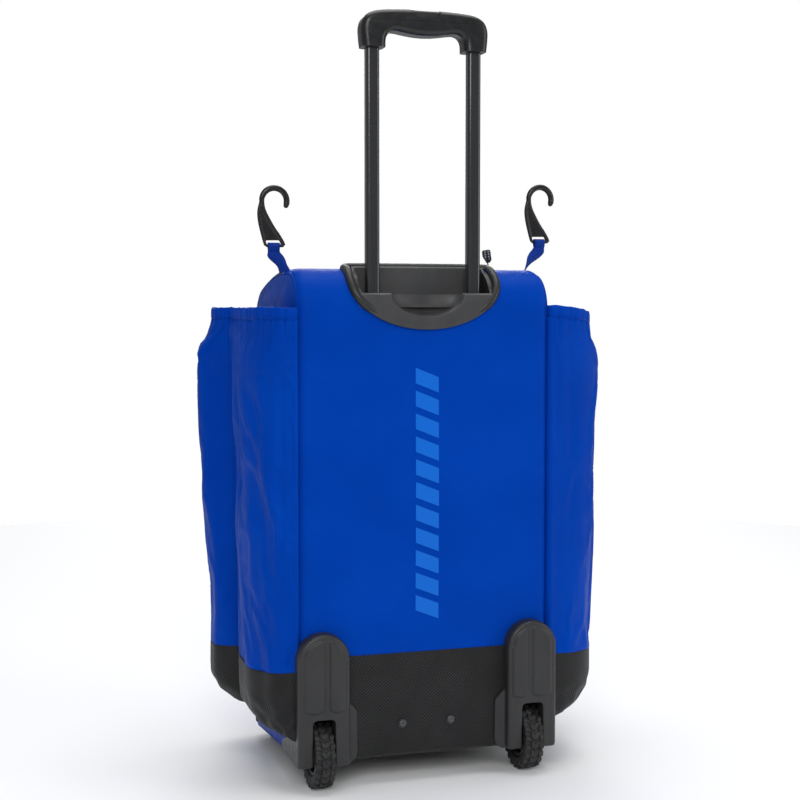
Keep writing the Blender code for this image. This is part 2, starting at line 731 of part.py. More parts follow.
def grip(slide):
    """The two halves of the grip, hollow for the yoke, and bored for the tubes, rods and button."""
    outline = grip_outline()
    depth = (TUBE_Y - GRIP_DEPTH / 2, TUBE_Y + GRIP_DEPTH / 2)
    halves = {"grip_lower": (1.0, GRIP_SPLIT_Z - GAP / 2), "grip_upper": (GRIP_SPLIT_Z + GAP / 2, 1.2)}
    hollow = box(
        "grip_hollow",
        (-YOKE_HALF - 0.003, TUBE_Y - 0.0058, SPRING_Z[0] - GAP),
        (YOKE_HALF + 0.003, TUBE_Y + 0.0058, YOKE_Z[1] + 0.0025),
    )
    side_y = BUTTON_DEPTH / 2 + GAP
    hatch = box(
        "button_hatch",
        (-BUTTON_HALF - GAP, TUBE_Y - side_y, YOKE_Z[1] - BUTTON_TRAVEL - GAP),
        (BUTTON_HALF + GAP, TUBE_Y + side_y, 1.2),
    )
    for name, (low, high) in halves.items():
        piece = as_mesh(plate(name, [outline], "y", depth, PLASTIC, slide))
        rounded(piece, 0.006, 2)
        keep_inside(piece, box(f"{name}_space", (-0.2, -0.2, low), (0.2, 0.0, high)))
        cut(piece, hollow, hatch)
        if name == "grip_upper":
            continue
        for side, sign in SIDES.items():
            socket = rounded_rectangle((sign * TUBE_X, TUBE_Y), [d + 2 * GAP for d in INNER_TUBE], 0.004)
            span = (1.05, INNER_TUBE_Z[1] + GAP)
            cut(piece, as_mesh(plate(f"grip_socket_{side}", [socket], "z", span)))
            middle = (sign * TUBE_X, TUBE_Y, 1.083)
            cut(piece, rod(f"rod_passage_{side}", ROD_RADIUS + GAP, 0.02, middle, "z", sides=16))


def button(slide):
    """The release button on the grip, the yoke under it, the rods down the tubes and the spring."""
    press = pivot("button_press_pivot", (0, TUBE_Y, YOKE_Z[1]), slide)
    side_y = BUTTON_DEPTH / 2
    cap = box(
        "release_button",
        (-BUTTON_HALF, TUBE_Y - side_y, YOKE_Z[1] + GAP),
        (BUTTON_HALF, TUBE_Y + side_y, GRIP_TOP_Z),
        PLASTIC,
        press,
    )
    rounded(cap, 0.0015, 1)
    box(
        "push_yoke",
        (-YOKE_HALF, TUBE_Y - 0.004, YOKE_Z[0]),
        (YOKE_HALF, TUBE_Y + 0.004, YOKE_Z[1]),
        PLASTIC,
        press,
    )
    for side, sign in SIDES.items():
        middle = (sign * TUBE_X, TUBE_Y, sum(ROD_Z) / 2)
        rod(f"push_rod_{side}", ROD_RADIUS, ROD_Z[1] - ROD_Z[0], middle, "z", STEEL, press, sides=12)
    spring(slide)


def spring(slide):
    """A coil of round wire that lifts the yoke."""
    wire, radius, turns, steps = 0.0005, 0.0038, 4, 12
    low, high = SPRING_Z[0] + wire, SPRING_Z[1] - wire
    count = turns * steps
    data = bpy.data.curves.new("button_spring", "CURVE")
    data.dimensions = "3D"
    data.bevel_depth = wire
    data.bevel_resolution = 1
    data.use_fill_caps = True
    coil = data.splines.new("POLY")
    coil.points.add(count)
    for i, point in enumerate(coil.points):
        angle = 2 * math.pi * i / steps
        point.co = (radius * math.cos(angle), radius * math.sin(angle), low + (high - low) * i / count, 1)
    add("button_spring", data, STEEL, (0, TUBE_Y, 0), parent=slide)


# ---------------------------------------------------------------- wheels
def housing_outline():
    """Back view of a wheel housing, an arch, as (x, z)."""
    radius = (HOUSING_X[1] - HOUSING_X[0]) / 2
    middle = sum(HOUSING_X) / 2
    top = arc((middle, HOUSING_TOP_Z - radius), radius, 0, 180, 16)
    return [(HOUSING_X[0], BASE_BACK_Z), (HOUSING_X[1], BASE_BACK_Z)] + top


def mirrored(points, sign):
    return [(sign * across, up) for across, up in points]


def wheel_housing(side, sign):
    """The moulding over a wheel: an arched hood, a wing, a skid round the corner and the wheel well."""
    hood = plate(
        f"wheel_housing_{side}",
        [mirrored(housing_outline(), sign)],
        "y",
        (HOUSING_BACK_Y, BACK_Y - GAP),
        PLASTIC,
    )
    hood = as_mesh(hood)
    rounded(hood, 0.004, 1)

    def block(name, x_span, y_span, z_span):
        xs = sorted(sign * x for x in x_span)
        return box(f"{name}_{side}", (xs[0], y_span[0], z_span[0]), (xs[1], y_span[1], z_span[1]))

    inner = HOUSING_X[0]
    wing = [(inner + 0.003, 0.127), (inner, 0.127), (0.106, 0.110), (0.106, 0.046)]
    wing += [(0.112, BASE_BACK_Z), (inner + 0.003, BASE_BACK_Z)]
    wing = as_mesh(plate(f"wing_{side}", [mirrored(wing, sign)], "y", (BACK_Y - 0.0033, BACK_Y - GAP)))
    skid = [(HOUSING_BACK_Y + 0.004, 0.045), (HOUSING_BACK_Y + 0.004, 0.150), (-0.150, 0.140)]
    skid += [(-0.100, 0.075), (SKID_FRONT_Y, 0.052), (SKID_FRONT_Y, 0.045)]
    span = sorted((sign * (HALF_WIDTH + GAP), sign * HOUSING_X[1]))
    skid = as_mesh(plate(f"skid_{side}", [skid], "x", span))
    well_x = (WELL_X[0] - WELL_WALL, WELL_X[1] + WELL_WALL)
    front_y = WHEEL_Y + WELL_RADIUS + WELL_WALL
    well = block("well", well_x, (BACK_Y - 0.005, front_y), (BASE_BACK_Z + 0.001, 0.1115))
    join(hood, wing, skid, well)

    wheel_space = rod(
        f"wheel_space_{side}",
        WELL_RADIUS,
        WELL_X[1] - WELL_X[0],
        (sign * sum(WELL_X) / 2, WHEEL_Y, WHEEL_RADIUS),
        "x",
    )
    low = block("well_floor", WELL_X, (-0.19, WHEEL_Y + WELL_RADIUS), (0.02, WHEEL_RADIUS))
    slot = block("well_slot", WELL_X, (-0.19, WHEEL_Y), (0.02, SLOT_TOP_Z))
    hollow = block("hood_hollow", (0.1235, 0.1905), (HOUSING_BACK_Y + 0.003, BACK_Y + 0.0), (0.116, 0.205))
    middle = (sign * sum(WELL_X) / 2, WHEEL_Y, WHEEL_RADIUS)
    bore = rod(f"axle_bore_{side}", AXLE_RADIUS + GAP, 0.2, middle, "x", sides=20)
    cut(hood, wheel_space, low, slot, hollow, bore)
    return hood


def wheel(side, sign):
    """A wheel about X: tyre, hub, bearing sleeve, and the fixed axle."""
    middle = (sign * WHEEL_X, WHEEL_Y, WHEEL_RADIUS)
    spin = pivot(f"wheel_spin_{side}", middle)
    half = TYRE_WIDTH / 2
    rim = RIM_RADIUS + GAP
    edge = WHEEL_RADIUS - 0.004
    tyre = [(rim, half - 0.004), (edge - 0.006, half), (edge, half - 0.0015), (WHEEL_RADIUS, half - 0.007)]
    tyre += [(radius, -x) for radius, x in reversed(tyre)]
    turned(f"wheel_tyre_{side}", tyre, middle, RUBBER, spin)
    bore = BEARING_RADIUS + GAP
    hub = [(bore, 0.0125), (0.017, 0.0125), (0.018, 0.006)]
    hub += [(0.027, 0.006), (0.028, 0.011), (RIM_RADIUS, 0.011)]
    hub += [(radius, -x) for radius, x in reversed(hub)]
    turned(f"wheel_hub_{side}", hub, middle, PLASTIC, spin)
    inner = AXLE_RADIUS + GAP
    sleeve = [(inner, 0.0135), (BEARING_RADIUS, 0.0135)]
    sleeve += [(radius, -x) for radius, x in reversed(sleeve)]
    turned(f"wheel_bearing_{side}", sleeve, middle, STEEL, spin)
    length = WELL_X[1] - WELL_X[0] + 2 * WELL_WALL
    centre = (sign * sum(WELL_X) / 2, WHEEL_Y, WHEEL_RADIUS)
    rod(f"wheel_axle_{side}", AXLE_RADIUS, length, centre, "x", STEEL, sides=20)


# ---------------------------------------------------------------- fence hooks
def strap(side, parent):
    """The free part of a hook's strap, a quarter turn of twist from its foot to the hook's bar."""
    sign = SIDES[side]
    bar_x, bar_z = HOOK_BAR[side]
    top_z = bar_z - 0.0045
    steps = 6

    def build(bm):
        bmesh.ops.create_cube(bm, size=1.0)
        bmesh.ops.scale(bm, vec=(STRAP_THICK, STRAP_WIDTH, 1.0), verts=bm.verts)
        uprights = [e for e in bm.edges if abs(e.verts[0].co.z - e.verts[1].co.z) > 0.5]
        bmesh.ops.subdivide_edges(bm, edges=uprights, cuts=steps - 1, use_grid_fill=True)
        for vert in bm.verts:
            along = vert.co.z + 0.5
            angle = math.pi / 2 * along
            x, y = vert.co.x, vert.co.y
            vert.co.x = x * math.cos(angle) - y * math.sin(angle)
            vert.co.y = x * math.sin(angle) + y * math.cos(angle)
            vert.co.x += sign * HALF_WIDTH + (bar_x - sign * HALF_WIDTH) * along
            vert.co.y += STRAP_Y
            vert.co.z = STRAP_FOOT_Z + (top_z - STRAP_FOOT_Z) * along

    add(f"hook_strap_{side}", bmesh_data(f"hook_strap_{side}", build), BLUE, (0, 0, 0), parent=parent)


def hook(side, parent):
    """A moulded J hook that stands on a three-cornered loop, whose bar the strap goes round."""
    x, z = HOOK_BAR[side]
    outer = [(-0.0165, -0.0025), (0.0165, -0.0025), (0.0165, 0.0020), (0.0055, 0.036), (-0.0055, 0.036)]
    outer += [(-0.0165, 0.0020)]
    hole = [(-0.0120, 0.0028), (0.0120, 0.0028), (0.0030, 0.026), (-0.0030, 0.026)]
    outlines = [[(x + across, z + up) for across, up in ring] for ring in (outer, hole)]
    loop = as_mesh(
        plate(f"fence_hook_{side}", outlines, "y", (STRAP_Y - 0.003, STRAP_Y + 0.003), PLASTIC, parent)
    )
    route = [(0.0, 0.031), (-0.0045, 0.040), (-0.013, 0.050)]
    route += arc(HOOK_CURL, HOOK_CURL_RADIUS, 190, -20, 12)
    data = bpy.data.curves.new(f"hook_rod_{side}", "CURVE")
    data.dimensions = "3D"
    data.bevel_depth = HOOK_ROD_RADIUS
    data.bevel_resolution = 2
    data.use_fill_caps = True
    line = data.splines.new("POLY")
    line.points.add(len(route) - 1)
    for point, (across, up) in zip(line.points, route):
        point.co = (across, 0, up, 1)
    join(loop, as_mesh(add(f"hook_rod_{side}", data, None, (x, STRAP_Y, z))))


def hooks():
    for side, sign in SIDES.items():
        bar_x, bar_z = HOOK_BAR[side]
        foot = pivot(f"strap_pivot_{side}", (sign * HALF_WIDTH, STRAP_Y, STRAP_PIVOT_Z))
        bar = pivot(f"hook_pivot_{side}", (bar_x, STRAP_Y, bar_z), foot)
        strap(side, foot)
        hook(side, bar)


# ---------------------------------------------------------------- assembly
def build_bag():
    back_and_top()
    lower_back()
    side_panels()
    base()
    front_apron()
    back_board()
    front_feet()
    hinge = pivot("flap_hinge", (0, HINGE_Y, HINGE_Z))
    flap(hinge)
    front_pocket(hinge)
    main_slider(hinge)
    pocket_slider(hinge)
    sleeves()
    handle_cup()
    fixed_tubes()
    slide = pivot("handle_slide", (0, TUBE_Y, 0))
    moving_tubes(slide)
    grip(slide)
    button(slide)
    for side, sign in SIDES.items():
        wheel_housing(side, sign)
        wheel(side, sign)
    hooks()


clear_scene()
BAG = new_collection("Wheeled equipment bag")
CUTTERS = new_collection("Cutters", hidden=True)
build_bag()
bpy.context.view_layer.update()
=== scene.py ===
import math

import bmesh
import bpy
import numpy as np
from mathutils import Matrix, Vector, noise


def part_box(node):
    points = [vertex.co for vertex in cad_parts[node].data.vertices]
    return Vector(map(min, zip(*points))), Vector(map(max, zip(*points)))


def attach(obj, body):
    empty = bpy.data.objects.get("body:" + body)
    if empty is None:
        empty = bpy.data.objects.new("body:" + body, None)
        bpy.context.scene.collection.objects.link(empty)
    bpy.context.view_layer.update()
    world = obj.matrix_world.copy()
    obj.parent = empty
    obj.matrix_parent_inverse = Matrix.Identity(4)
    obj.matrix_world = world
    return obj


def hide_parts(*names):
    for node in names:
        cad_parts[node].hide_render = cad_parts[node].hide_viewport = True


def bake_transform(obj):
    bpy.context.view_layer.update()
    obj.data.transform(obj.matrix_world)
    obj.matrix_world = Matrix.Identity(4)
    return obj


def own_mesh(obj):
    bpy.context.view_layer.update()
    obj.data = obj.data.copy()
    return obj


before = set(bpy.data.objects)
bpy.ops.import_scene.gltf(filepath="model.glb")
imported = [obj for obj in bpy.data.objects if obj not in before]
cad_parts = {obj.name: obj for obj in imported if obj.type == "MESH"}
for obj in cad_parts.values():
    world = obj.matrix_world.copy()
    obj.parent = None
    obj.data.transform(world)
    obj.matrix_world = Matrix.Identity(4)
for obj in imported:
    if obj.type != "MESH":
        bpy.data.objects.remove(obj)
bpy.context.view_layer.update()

SIDES = {"left": -1, "right": 1}


# ---------------------------------------------------------------- sizes read from the frame
def low(node):
    """Lowest corner of the box of a part of the frame."""
    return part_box(node)[0]


def high(node):
    """Highest corner of the box of a part of the frame."""
    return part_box(node)[1]


HALF_WIDTH = high("side_panel_right").x
BACK_Y = low("spine_panel").y
FRONT_Y = high("front_apron").y
TOP_Z = high("spine_panel").z
BASE_BACK_Z = low("lower_back_panel").z - 0.001
BASE_FRONT_Z = low("front_apron").z
LOWER_TOP_Z = high("lower_back_panel").z
ZIP_Y = low("zip_chain_frame").y + 0.0046

# Roundings of the fabric body, as the CAD panels have them
BACK_RADIUS = 0.058
CROWN_Y = -0.060
CROWN_RADIUS = 0.55
BROW_Y = 0.100
BASE_RADIUS = 0.014
EDGE = 0.018                # from the back, top and front round into the sides
SEAM_ANGLE = math.radians(54)
FLAT_X = HALF_WIDTH - EDGE  # where the back, top and front start to round into the sides
SEAM_X = FLAT_X + EDGE * math.sin(SEAM_ANGLE)
SEAM_ACROSS = FLAT_X + EDGE * SEAM_ANGLE
SEAM_DROP = EDGE * (1 - math.cos(SEAM_ANGLE))   # how far the seam lies in from the outline
CLOTH = 0.0022              # thickness of a single layer


# ---------------------------------------------------------------- camera, lights and floor
def aim(obj, target):
    """Turns a camera or lamp to look at a point."""
    obj.rotation_euler = (Vector(target) - obj.location).to_track_quat("-Z", "Y").to_euler()


def add_camera():
    """The camera, low behind the bag and a little to its left."""
    turn, drop = math.radians(17.218), math.radians(3.537)
    data = bpy.data.cameras.new("camera")
    data.lens = 65.93
    data.sensor_width = 36.0
    camera = bpy.data.objects.new("camera", data)
    bpy.context.scene.collection.objects.link(camera)
    camera.location = (-0.662, -2.1548, 0.689)
    ahead = Vector((math.sin(turn) * math.cos(drop), math.cos(turn) * math.cos(drop), -math.sin(drop)))
    aim(camera, camera.location + ahead)
    bpy.context.scene.camera = camera


def area_light(name, place, target, size, power, colour=(1.0, 1.0, 1.0)):
    """A soft rectangular lamp aimed at a point."""
    data = bpy.data.lights.new(name, "AREA")
    data.shape = "RECTANGLE"
    data.size, data.size_y = size
    data.energy = power
    data.color = colour
    lamp = bpy.data.objects.new(name, data)
    lamp.location = place
    bpy.context.scene.collection.objects.link(lamp)
    aim(lamp, target)
    return lamp


def add_lights():
    """A white surround that the camera sees, a dimmer one that lights the bag, and large soft lamps."""
    world = bpy.data.worlds.new("studio")
    world.use_nodes = True
    tree = world.node_tree
    dim = tree.nodes["Background"]
    dim.inputs["Color"].default_value = (0.92, 0.95, 1.0, 1.0)
    dim.inputs["Strength"].default_value = 0.34
    white = tree.nodes.new("ShaderNodeBackground")
    white.inputs["Color"].default_value = (1.0, 1.0, 1.0, 1.0)
    white.inputs["Strength"].default_value = 1.0
    mixer = tree.nodes.new("ShaderNodeMixShader")
    tree.links.new(tree.nodes.new("ShaderNodeLightPath").outputs["Is Camera Ray"], mixer.inputs[0])
    tree.links.new(dim.outputs[0], mixer.inputs[1])
    tree.links.new(white.outputs[0], mixer.inputs[2])
    tree.links.new(mixer.outputs[0], tree.nodes["World Output"].inputs["Surface"])
    bpy.context.scene.world = world
    middle = (0.0, 0.0, 0.5)
    area_light("key", (-1.3, -3.9, 2.6), middle, (2.2, 2.2), 88)
    area_light("fill", (3.6, -2.4, 1.6), middle, (1.6, 2.8), 42)
    area_light("top", (0.2, 0.3, 4.2), middle, (3.2, 3.2), 95)
    area_light("rear", (1.2, 4.2, 2.4), middle, (2.4, 2.4), 70)


def add_floor():
    """A round pale floor under the wheels and feet."""
    data = bpy.data.meshes.new("floor")
    bm = bmesh.new()
    bmesh.ops.create_circle(bm, cap_ends=True, radius=2.7, segments=96)
    bm.to_mesh(data)
    bm.free()
    floor = bpy.data.objects.new("floor", data)
    bpy.context.scene.collection.objects.link(floor)
    shader = Shader("pale floor", (0.93, 0.93, 0.93), 0.9)
    data.materials.append(shader.material)


# ---------------------------------------------------------------- materials
class Shader:
    """A material's node tree, with short ways to add and join nodes."""

    def __init__(self, name, colour, roughness, metallic=0.0):
        self.material = bpy.data.materials.new(name)
        self.material.use_nodes = True
        self.tree = self.material.node_tree
        self.bsdf = self.tree.nodes["Principled BSDF"]
        self.set("Base Color", (*colour, 1.0))
        self.set("Roughness", roughness)
        self.set("Metallic", metallic)

    def set(self, socket, value):
        self.bsdf.inputs[socket].default_value = value

    def feed(self, socket, source):
        self.tree.links.new(source, self.bsdf.inputs[socket])

    def node(self, kind, inputs=None, **settings):
        made = self.tree.nodes.new(kind)
        for key, value in settings.items():
            setattr(made, key, value)
        for key, value in (inputs or {}).items():
            if isinstance(value, bpy.types.NodeSocket):
                self.tree.links.new(value, made.inputs[key])
            else:
                made.inputs[key].default_value = value
        return made

    def math(self, operation, a, b=0.0):
        return self.node("ShaderNodeMath", {0: a, 1: b}, operation=operation).outputs[0]

    def noise(self, scale, detail=3.0, stretch=None, roughness=0.5):
        """Noise in the piece's own metres, drawn out along an axis where stretch is small."""
        where = self.node("ShaderNodeTexCoord").outputs["Object"]
        if stretch:
            mapping = self.node("ShaderNodeMapping", {"Vector": where, "Scale": stretch})
            where = mapping.outputs["Vector"]
        inputs = {"Vector": where, "Scale": scale, "Detail": detail, "Roughness": roughness}
        return self.node("ShaderNodeTexNoise", inputs).outputs["Fac"]

    def ramp(self, source, low_value, high_value, start=0.3, stop=0.7):
        inputs = {"Value": source, 1: start, 2: stop, 3: low_value, 4: high_value}
        return self.node("ShaderNodeMapRange", inputs).outputs[0]

    def mix(self, amount, first, second):
        made = self.node("ShaderNodeMix", data_type="RGBA")
        for index, value in ((0, amount), (6, first), (7, second)):
            if isinstance(value, bpy.types.NodeSocket):
                self.tree.links.new(value, made.inputs[index])
            elif index == 0:
                made.inputs[index].default_value = value
            else:
                made.inputs[index].default_value = (*value, 1.0)
        return made.outputs[2]

    def bump(self, height, distance, strength=1.0, under=None):
        inputs = {"Height": height, "Distance": distance, "Strength": strength}
        if under:
            inputs["Normal"] = under
        return self.node("ShaderNodeBump", inputs).outputs["Normal"]

    def threads(self, pitch, turn=0.0):
        """Crossing threads, from 0 to 1, on the cloth map, which is in metres."""
        cloth = self.node("ShaderNodeUVMap", uv_map="cloth").outputs["UV"]
        turned = self.node("ShaderNodeMapping", {"Vector": cloth, "Rotation": (0, 0, turn)})
        split = self.node("ShaderNodeSeparateXYZ", {0: turned.outputs["Vector"]})
        waves = []
        for axis in (0, 1):
            phase = self.math("MULTIPLY", split.outputs[axis], 2 * math.pi / pitch)
            waves.append(self.math("SINE", phase))
        crossed = self.math("MULTIPLY", waves[0], waves[1])
        return self.node("ShaderNodeMath", {0: crossed, 1: 0.5, 2: 0.5}, operation="MULTIPLY_ADD").outputs[0]


def blue_cloth():
    """Coated polyester: a fine plain weave, soft large folds and a little sheen."""
    shader = Shader("blue cloth", (0.0, 0.042, 0.36), 0.44)
    shader.set("Sheen Weight", 0.05)
    shader.set("Sheen Roughness", 0.35)
    shader.set("Sheen Tint", (0.02, 0.25, 1.0, 1.0))
    shader.set("Specular IOR Level", 0.06)
    shader.set("Specular Tint", (0.25, 0.55, 1.0, 1.0))
    weave = shader.threads(0.0011)
    cloud = shader.noise(7.0, 3.0)
    tone = shader.mix(shader.ramp(cloud, 0.0, 1.0), (0.0, 0.040, 0.345), (0.0, 0.050, 0.405))
    dark = shader.mix(0.5, tone, (0.0, 0.024, 0.23))
    shader.feed("Base Color", shader.mix(shader.ramp(weave, 0.34, 0.0, 0.1, 0.7), tone, dark))
    shader.feed("Roughness", shader.ramp(shader.noise(60.0, 2.0), 0.40, 0.50))
    soft = shader.bump(shader.noise(11.0, 2.0), 0.0030, 0.6)
    shader.feed("Normal", shader.bump(weave, 0.00012, 0.45, soft))
    return shader.material


def woven(name, colour, roughness, pitch, turn, tones, depth, strength, **settings):
    """A woven stuff of one yarn: threads of a pitch, turned by degrees, in two tones and with relief."""
    shader = Shader(name, colour, roughness)
    for socket, value in settings.items():
        shader.set(socket.replace("_", " "), value)
    weave = shader.threads(pitch, math.radians(turn))
    shader.feed("Base Color", shader.mix(weave, *tones))
    shader.feed("Normal", shader.bump(weave, depth, strength))
    return shader.material


def black_weave():
    """Ballistic cloth: coarse glossy yarns whose glints are painted into the colour as light dots on the
    diagonal.
    """
    shader = Shader("black ballistic weave", (0.012, 0.012, 0.012), 0.6)
    shader.set("Sheen Weight", 0.03)
    shader.set("Specular IOR Level", 0.25)
    yarn = shader.threads(0.0050, math.radians(8))
    fine = shader.threads(0.0014)
    both = shader.math("MULTIPLY", yarn, shader.ramp(fine, 0.6, 1.0, 0.0, 1.0))
    dots = shader.ramp(both, 0.0, 1.0, 0.35, 0.95)
    glint_patch = shader.ramp(shader.noise(22.0, 2.0), 0.35, 1.0)
    amount = shader.math("MULTIPLY", dots, glint_patch)
    # The light dots in the base colour are painted highlights of the glossy yarns, patchy across the cloth.
    shader.feed("Base Color", shader.mix(amount, (0.0065, 0.0065, 0.0070), (0.046, 0.046, 0.047)))
    shader.feed("Roughness", shader.ramp(yarn, 0.72, 0.42, 0.2, 0.9))
    shader.feed("Normal", shader.bump(both, 0.00045, 0.7))
    return shader.material


def moulding(name, colour, roughness, grain=0.00010):
    """Moulded plastic with a fine spark grain, faint handling marks and paler worn edges."""
    shader = Shader(name, colour, roughness)
    shader.set("Specular IOR Level", 0.42)
    marks = shader.noise(35.0, 4.0, (1.0, 1.0, 0.25))
    darker = tuple(c * 0.82 for c in colour)
    lighter = tuple(c * 1.15 for c in colour)
    tone = shader.mix(shader.ramp(marks, 0.0, 1.0), darker, lighter)
    edge = shader.node("ShaderNodeNewGeometry").outputs["Pointiness"]
    worn = shader.ramp(edge, 0.0, 0.22, 0.54, 0.64)
    shader.feed("Base Color", shader.mix(worn, tone, tuple(c * 2.2 + 0.01 for c in colour)))
    shader.feed("Roughness", shader.ramp(shader.noise(90.0, 3.0), roughness - 0.06, roughness + 0.08))
    shader.feed("Normal", shader.bump(shader.noise(1400.0, 2.0), grain, 0.5))
    return shader.material


def gloss_enamel():
    """Gloss black enamel over drawn tube: nearly a mirror, with fine lengthwise draw lines."""
    shader = Shader("gloss black enamel", (0.022, 0.022, 0.024), 0.20)
    shader.set("Coat Weight", 0.6)
    shader.set("Coat Roughness", 0.09)
    lines = shader.noise(900.0, 2.0, (1.0, 1.0, 0.01))
    shader.feed("Base Color", shader.mix(lines, (0.010, 0.010, 0.011), (0.019, 0.019, 0.020)))
    shader.feed("Roughness", shader.ramp(shader.noise(40.0, 3.0, (1.0, 1.0, 0.2)), 0.16, 0.27))
    shader.feed("Normal", shader.bump(lines, 0.00002, 0.3))
    return shader.material


def tyre_rubber():
    """Black rubber, dusty in patches."""
    shader = Shader("tyre rubber", (0.014, 0.014, 0.015), 0.62)
    dust = shader.ramp(shader.noise(55.0, 5.0), 0.0, 0.55, 0.45, 0.75)
    shader.feed("Base Color", shader.mix(dust, (0.0085, 0.0085, 0.009), (0.032, 0.031, 0.030)))
    shader.feed("Roughness", shader.ramp(shader.noise(120.0, 3.0), 0.5, 0.75))
    shader.feed("Normal", shader.bump(shader.noise(700.0, 3.0), 0.0002, 0.5))
    return shader.material


def metal(name, colour, roughness, stretch):
    """Bare metal with fine lines along one axis."""
    shader = Shader(name, colour, roughness, 1.0)
    lines = shader.noise(700.0, 3.0, stretch)
    shader.feed("Base Color", shader.mix(lines, tuple(c * 0.85 for c in colour), colour))
    shader.feed("Roughness", shader.ramp(lines, roughness - 0.08, roughness + 0.10))
    shader.feed("Normal", shader.bump(lines, 0.00003, 0.4))
    return shader.material


LOOKS = {
    "blue": blue_cloth(),
    "print": woven("tonal print", (0.001, 0.125, 0.60), 0.42, 0.0011, 0,
                   ((0.001, 0.112, 0.54), (0.001, 0.140, 0.65)),
                   0.00010, 0.4, Specular_IOR_Level=0.16),
    "weave": black_weave(),
    "lining": woven("grey lining", (0.055, 0.056, 0.060), 0.85, 0.0018, 45,
                    ((0.040, 0.041, 0.045), (0.075, 0.076, 0.080)), 0.0002, 0.5),
    "housing": moulding("charcoal moulding", (0.022, 0.022, 0.0225), 0.40),
    "cup": moulding("grey moulding", (0.040, 0.040, 0.041), 0.46),
    "rim": moulding("dark moulding", (0.016, 0.016, 0.016), 0.40),
    "grip": moulding("satin grip moulding", (0.010, 0.010, 0.0105), 0.30, 0.00006),
    "hook": moulding("black hook moulding", (0.009, 0.009, 0.0095), 0.28, 0.00005),
    "hub": moulding("hub moulding", (0.014, 0.014, 0.0145), 0.38),
    "teeth": moulding("zip teeth", (0.016, 0.016, 0.017), 0.35, 0.00003),
    "rubber": moulding("soft rubber", (0.011, 0.011, 0.0115), 0.65, 0.0002),
    "mark": moulding("pale rubber", (0.36, 0.37, 0.38), 0.6),
    "enamel": gloss_enamel(),
    "tyre": tyre_rubber(),
    "steel": metal("plated steel", (0.56, 0.56, 0.57), 0.28, (1.0, 1.0, 1.0)),
    "bolt": metal("dark plated bolt", (0.10, 0.10, 0.105), 0.42, (1.0, 1.0, 1.0)),
    "alloy": metal("drawn aluminium", (0.70, 0.71, 0.72), 0.34, (1.0, 1.0, 0.01)),
    "webbing": woven("blue webbing", (0.0, 0.036, 0.31), 0.6, 0.0022, 45,
                     ((0.0, 0.018, 0.19), (0.0, 0.043, 0.35)),
                     0.0005, 0.8, Sheen_Weight=0.04, Specular_IOR_Level=0.15),
    "tape": woven("black zip tape", (0.012, 0.012, 0.013), 0.8, 0.0009, 45,
                  ((0.007, 0.007, 0.008), (0.022, 0.022, 0.024)), 0.0002, 0.6),
}


# ---------------------------------------------------------------- mesh helpers
def link_mesh(name, data, look):
    """A piece made from a mesh, in one look."""
    data.materials.clear()
    data.materials.append(LOOKS[look])
    obj = bpy.data.objects.new(name, data)
    bpy.context.scene.collection.objects.link(obj)
    return obj


def arc_points(centre, radius, start, stop, count):
    """Points of a circle between two angles, in degrees."""
    angles = np.radians(np.linspace(start, stop, count + 1))
    return [(centre[0] + radius * math.cos(a), centre[1] + radius * math.sin(a)) for a in angles]


def resampled(points, step):
    """The same line with evenly spaced points."""
    points = np.array(points, float)
    lengths = np.linalg.norm(np.diff(points, axis=0), axis=1)
    along = np.concatenate([[0.0], np.cumsum(lengths)])
    new = np.linspace(0.0, along[-1], max(2, round(along[-1] / step)) + 1)
    return np.stack([np.interp(new, along, column) for column in points.T], axis=1)


def rounded_line(points, steps=12):
    """A smooth line through points, as a Catmull-Rom spline."""
    points = [Vector(p) for p in points]
    ends = [2 * points[0] - points[1]] + points + [2 * points[-1] - points[-2]]
    line = []
    for a, b, c, d in zip(ends, ends[1:], ends[2:], ends[3:]):
        for i in range(steps):
            t = i / steps
            line.append(0.5 * (2 * b + (c - a) * t + (2 * a - 5 * b + 4 * c - d) * t**2
                               + (3 * b - a - 3 * c + d) * t**3))
    return line + [points[-1]]


def surface(name, points, look, closed_rows=False, closed_columns=False, flip=False, uv=True):
    """A sheet over a grid of points, rows x columns x 3, with its cloth map in metres."""
    points = np.asarray(points, float)
    rows, columns = points.shape[:2]
    faces = []
    for i in range(rows if closed_rows else rows - 1):
        for j in range(columns if closed_columns else columns - 1):
            k, m = (i + 1) % rows, (j + 1) % columns
            face = [i * columns + j, i * columns + m, k * columns + m, k * columns + j]
            faces.append(face[::-1] if flip else face)
    data = bpy.data.meshes.new(name)
    data.from_pydata(points.reshape(-1, 3).tolist(), [], faces)
    if uv:
        across = np.linalg.norm(np.diff(points, axis=1), axis=2).mean(axis=0)
        along = np.linalg.norm(np.diff(points, axis=0), axis=2).mean(axis=1)
        u = np.concatenate([[0.0], np.cumsum(across)])
        v = np.concatenate([[0.0], np.cumsum(along)])
        cloth = data.uv_layers.new(name="cloth")
        for loop in data.loops:
            row, column = divmod(loop.vertex_index, columns)
            cloth.data[loop.index].uv = (u[column], v[row])
    data.shade_smooth()
    return link_mesh(name, data, look)


def crease_at(obj, degrees):
    """Keeps the edges that turn by more than an angle sharp."""
    obj.data.set_sharp_from_angle(angle=math.radians(degrees))
    return obj


def modifier(obj, kind, **settings):
    """Adds a modifier with the settings given."""
    made = obj.modifiers.new(kind.title(), kind)
    for key, value in settings.items():
        setattr(made, key, value)
    return made


def baked(obj):
    """The piece with its modifiers made into its mesh."""
    graph = bpy.context.evaluated_depsgraph_get()
    graph.update()
    data = bpy.data.meshes.new_from_object(obj.evaluated_get(graph), depsgraph=graph)
    obj.modifiers.clear()
    obj.data = data
    return obj


